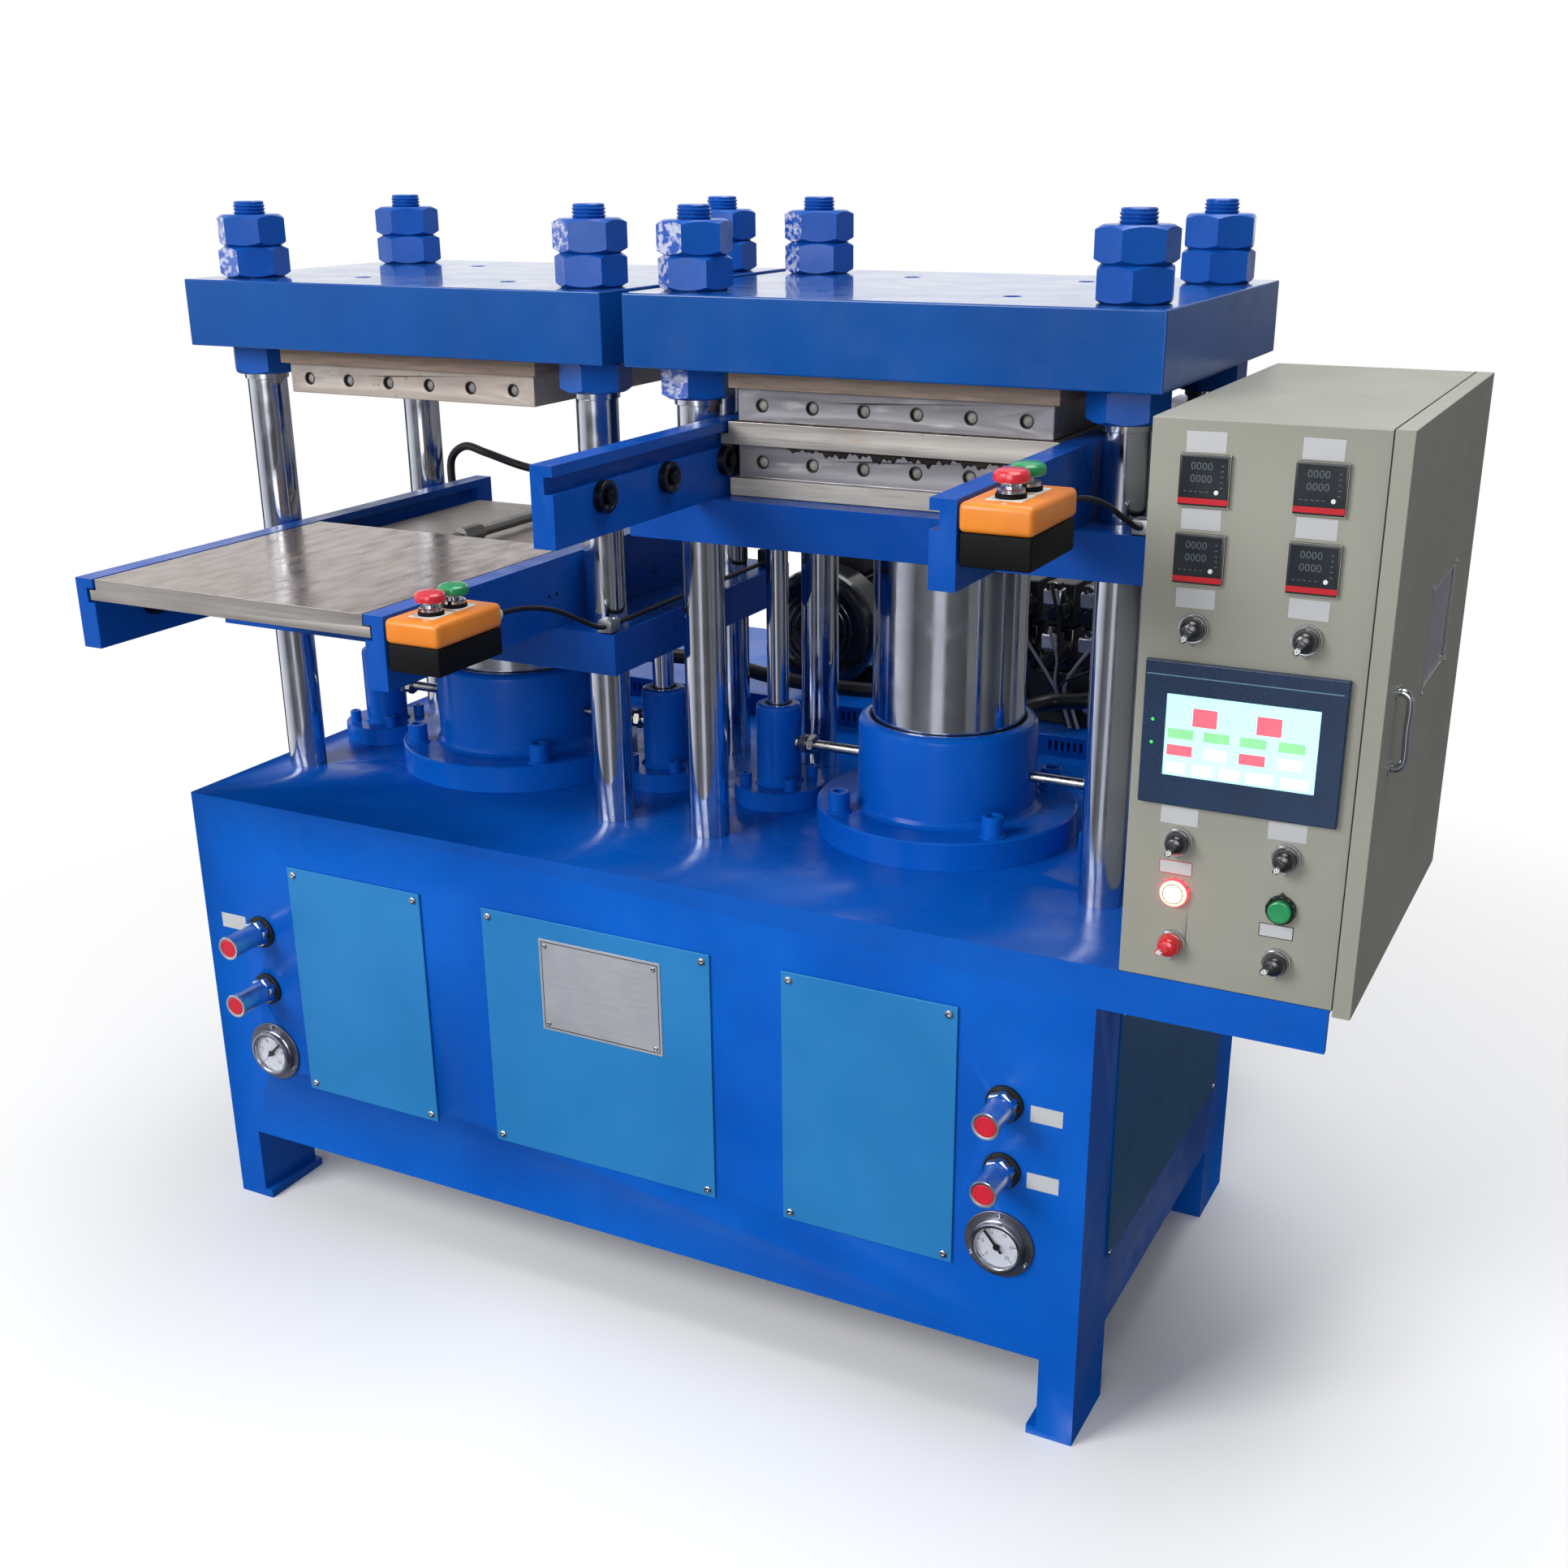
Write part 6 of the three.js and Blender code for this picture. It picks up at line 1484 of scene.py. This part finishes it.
# Operators: chromed switch rings with a pointed tab, domed selector knobs with a lever and a white
# arrow, a lit pilot lamp, and a green push button in a dark ring.
ring_radius = 14.9
knob_radius = 11.2
lever_radius = 4.6
lamp_height = 708
selectors = {
    "upper_left_selector": (columns_x[0], 978, 210), "upper_right_selector": (columns_x[1], 978, 210),
    "middle_left_selector": (columns_x[0], 762, 210), "middle_right_selector": (columns_x[1], 762, 210),
    "red_selector": (columns_x[0], 652, 240), "lower_right_selector": (columns_x[1], 652, 240),
}
arrow_white = enamel("arrow_white", (232, 234, 234), (222, 224, 224), roughness=0.5)
knob_black = moulded("knob_black", (24, 25, 30), (32, 33, 38), roughness=0.22, coat=0.7)
knob_red = moulded("knob_red", (206, 30, 40), (192, 26, 36), roughness=0.22, coat=0.7)
cap_green = moulded("cap_green", (22, 150, 86), (18, 136, 78), roughness=0.3, coat=0.4)
ring_dark = metal("ring_dark", (58, 70, 66), (44, 54, 50), roughness=0.35)


def lit(name, colour, strength):
    """A lit lens or display: its own colour, a little uneven, glowing."""
    material, tree, shader = bare_finish(name, {"Roughness": 0.25, "Emission Strength": strength})
    uneven = patches(tree, (60,), 0.3, 0.7)
    tone = mingle(tree, uneven, shade(*colour), shade(*[0.96 * value for value in colour]))
    for entry in ("Base Color", "Emission Color"):
        tree.links.new(tone, shader.inputs[entry])
    return material


def pointed_tab(shape, x, z, half, thick, edge, finish=0):
    """A square block stood on its corner, the tab that locates an operator in the panel."""
    tab = tilted(bar((-half, -thick, -half), (half, 0, half), edge=edge), math.pi / 4)
    join_in(shape, tab, (x, panel, z), finish=finish)


lens_warm = lit("lens_warm", (255, 236, 178), 1.5)
lens_red = lit("lens_red", (255, 44, 60), 3.5)

rings = bmesh.new()
for name, (x, z, pointing) in selectors.items():
    turn(rings, [
        (12.3, 0), (12.3, 4.4), (12.7, 5.1), (13.5, 5.2), (14.3, 4.6), (14.6, 3.8), (ring_radius, 3.2),
        (ring_radius, 0),
    ], (x, panel, z), forwards, steps=72)
    pointed_tab(rings, x, z - 12.2, 4.2, 3.6, 0.5)
    knob = bmesh.new()
    base_y = panel - 5.3
    turn(knob, [
        (0, 0), (12, 0), (12, 2.6), (knob_radius, 3.4), (knob_radius, 6), (10.6, 8.6), (9.4, 11), (7.4, 12.9),
        (4.6, 14.1), (0, 14.6),
    ], (x, base_y, z), forwards)
    turned = math.radians(pointing)
    lever = bar((-lever_radius, base_y - 15.8, -3), (lever_radius, base_y - 3, 12.6), edge=1.6, segments=3)
    for corner in lever.verts:
        if corner.co.z > 8:
            corner.co.x *= 1 - 0.13 * (corner.co.z - 8)
    join_in(knob, tilted(lever, turned), (x, 0, z))
    stroke = bar((-0.8, base_y - 15.95, 3.4), (0.8, base_y - 15.7, 8), edge=0)
    join_in(knob, tilted(stroke, turned), (x, 0, z), finish=1)
    for way in (-1, 1):
        for start, foot, lean in ((11.2, -4.6, 0.5), (3.6, 0, -0.5)):
            barb = bar((-0.75, base_y - 15.95, foot), (0.75, base_y - 15.7, foot + 4.6), edge=0)
            barb = tilted(barb, way * lean)
            bmesh.ops.translate(barb, vec=(0, 0, start), verts=barb.verts)
            join_in(knob, tilted(barb, turned), (x, 0, z), finish=1)
    red = name == "red_selector"
    finished(
        f"{name}_knob", knob, name,
        [knob_red if red else knob_black, arrow_white], [f"cabinet_{name}"],
    )

lamp, button_place = [(x, panel, lamp_height) for x in columns_x]
dark_ring = [(11.6, 0), (ring_radius, 0), (ring_radius, 4), (14.2, 5.2), (11.6, 5.2)]
turn(rings, dark_ring, button_place, forwards, finish=1, steps=72)
pointed_tab(rings, columns_x[1], 720, 4.4, 4.6, 0.6, finish=1)
lens_side = [(0, 0), (ring_radius - 0.4, 0), (ring_radius - 0.4, 5.4), (13.6, 6.6)]
turn(rings, lens_side, lamp, forwards, finish=3, steps=72)
lens_dome = [(13.6, 6.6), (12.4, 8), (9, 9.2), (5, 9.8), (0, 10)]
turn(rings, lens_dome, lamp, forwards, finish=2, steps=72)
finished("operator_rings", rings, "frame", [chrome, ring_dark, lens_warm, lens_red])

push = bmesh.new()
reach = panel - corners_of("cabinet_green_push_button")[0].y
turn(push, [
    (0, -19), (11, -19), (11, 0), (11.45, 0), (11.45, reach - 1.6), (10.9, reach - 0.5), (9.8, reach),
    (8, reach - 0.2), (0, reach - 0.5),
], button_place, forwards, steps=64)
finished(
    "green_push_cap", push, "green_push_button", [cap_green],
    ["cabinet_green_push_button"],
)

# Touch screen: a slate-blue bezel with a pale rule and two green lamps, and a bright cyan page of
# plain coloured keys behind its glass.
screen_low, screen_high = corners_of("touch_screen")
view_low, view_high = (544, 831), (691, 913)
bezel_depth = 6.2
page_sunk = 0.9
page_rows = (
    (0.15, 0.37, ((0.18, 0.34, 3), (0.6, 0.76, 3))),
    (0.42, 0.54, ((0.02, 0.19, 4), (0.26, 0.43, 4), (0.5, 0.67, 4), (0.75, 0.92, 4))),
    (0.62, 0.75, ((0.02, 0.19, 3), (0.27, 0.42, 2), (0.5, 0.67, 3), (0.76, 0.91, 2))),
    (0.84, 0.97, ((0.02, 0.15, 2), (0.2, 0.33, 2), (0.38, 0.51, 2), (0.56, 0.73, 2), (0.78, 0.96, 2))),
)
bezel_blue = moulded("bezel_blue", (22, 48, 80), (18, 42, 72), roughness=0.25, coat=0.3)
page_cyan = lit("page_cyan", (186, 246, 244), 0.55)
page_white = lit("page_white", (240, 248, 250), 0.62)
page_red = lit("page_red", (226, 104, 122), 0.42)
page_green = lit("page_green", (140, 214, 150), 0.45)
rule_pale = enamel("rule_pale", (112, 150, 168), (100, 138, 158), roughness=0.4)
lamp_green = lit("lamp_green", (60, 230, 90), 0.9)


def on_bezel(edge):
    """Whether an edge runs round the outside of the bezel."""
    return edge.calc_length() > 4 and all(
        corner.co.y < screen_low.y + bezel_depth
        and min(abs(corner.co[i] - limit[i]) for i in (0, 2) for limit in (screen_low, screen_high)) < 0.1
        for corner in edge.verts
    )


screen = solid_of("touch_screen")
ease_edges(screen, 1.4, picked=on_bezel)
glass_y = screen_low.y + page_sunk
block(
    screen, (view_low[0] - 0.4, glass_y, view_low[1] - 0.4),
    (view_high[0] + 0.4, glass_y + 0.6, view_high[1] + 0.4), finish=1, edge=0,
)
wide, tall = view_high[0] - view_low[0], view_high[1] - view_low[1]
for above, below, keys in page_rows:
    for start, end, finish in keys:
        block(
            screen, (view_low[0] + start * wide, glass_y - 0.12, view_high[1] - below * tall),
            (view_low[0] + end * wide, glass_y + 0.1, view_high[1] - above * tall), finish=finish, edge=0,
        )
screen_height = screen_high.z - screen_low.z
rule_z = screen_high.z - 0.1 * screen_height
block(
    screen, (screen_low.x + 2, screen_low.y - 0.05, rule_z),
    (screen_high.x - 5, screen_low.y + 0.2, rule_z + 1), finish=5, edge=0,
)
for share in (0.41, 0.57):
    spot = (screen_low.x + 10.5, screen_low.y, screen_high.z - share * screen_height)
    turn(screen, [(0, -0.2), (1.7, -0.2), (1.5, 0.15), (0, 0.3)], spot, forwards, finish=6, steps=20)
finished(
    "touch_panel", screen, "frame",
    [bezel_blue, page_cyan, page_white, page_red, page_green, rule_pale, lamp_green], ["touch_screen"],
)

# Cabinet door: a shallow powder-coated tray on two hinges, with a chromed pull handle and a bright
# window plate sunk in it behind four small screws.
door_low, door_high = corners_of("cabinet_door")
door_face = 746.3
tray_back = 80.6
window_low, window_high = (-183.5, 886), (-45.5, 986)
window_frame = 1.5
handle = {"radius": 4, "out": 17, "y": -339.5, "low": 843, "high": 926, "bend": 7}
window_glass = enamel("window_glass", (92, 100, 110), (58, 66, 82), roughness=0.08, coat=0.5, peel=0.0)


def on_tray(edge):
    """Whether an edge is a long one of the door's tray."""
    return edge.calc_length() > 100 and all(corner.co.y < tray_back for corner in edge.verts)


door = solid_of("cabinet_door")
drop_region(door, (door_face + 0.2, door_low.y, door_low.z), (door_high.x + 1, 79, door_high.z))
ease_edges(door, 1.6, picked=on_tray)
coat_region(door, 2, (door_low.x - 1, tray_back, door_low.z), (door_high.x, door_high.y + 1, door_high.z))
coat_region(
    door, 1, (door_face - 1.6, window_low[0] + 2, window_low[1] + 2),
    (door_face - 1.4, window_high[0] - 2, window_high[1] - 2),
)
grip_x = door_face + handle["out"] - handle["radius"]
grip_low, grip_high = handle["low"] + handle["radius"], handle["high"] - handle["radius"]
bend = handle["bend"]
corner_in = 2.6
lower_half = [
    (door_face - 0.3, grip_low), (grip_x - bend, grip_low), (grip_x - corner_in, grip_low + corner_in),
    (grip_x, grip_low + bend),
]
upper_half = [(x, grip_low + grip_high - z) for x, z in reversed(lower_half)]
grip = [(x, handle["y"], z) for x, z in (*lower_half, (grip_x, (grip_low + grip_high) / 2), *upper_half)]
tube(door, smooth_route(grip, steps=5), handle["radius"], finish=2, sides=24)
for z in (grip_low, grip_high):
    rose = [(0, -0.3), (8, -0.3), (8, 1), (7, 2), (5, 2.2)]
    turn(door, rose, (door_face, handle["y"], z), rightwards, finish=2, steps=36)
corner_screws(door, window_low, window_high, -4, door_face, rightwards, 3, 1.6, finish=2)
(left, foot), (right, head) = window_low, window_high
for start, end in (
    ((left - window_frame, foot - window_frame), (left, head + window_frame)),
    ((right, foot - window_frame), (right + window_frame, head + window_frame)),
    ((left, head), (right, head + window_frame)), ((left, foot - window_frame), (right, foot)),
):
    block(door, (door_face - 0.2, *start), (door_face + 0.8, *end), finish=2, edge=0.3, segments=1)
finishes = [cabinet_grey, window_glass, chrome]
finished("cabinet_door_leaf", door, "door", finishes, ["cabinet_door"])
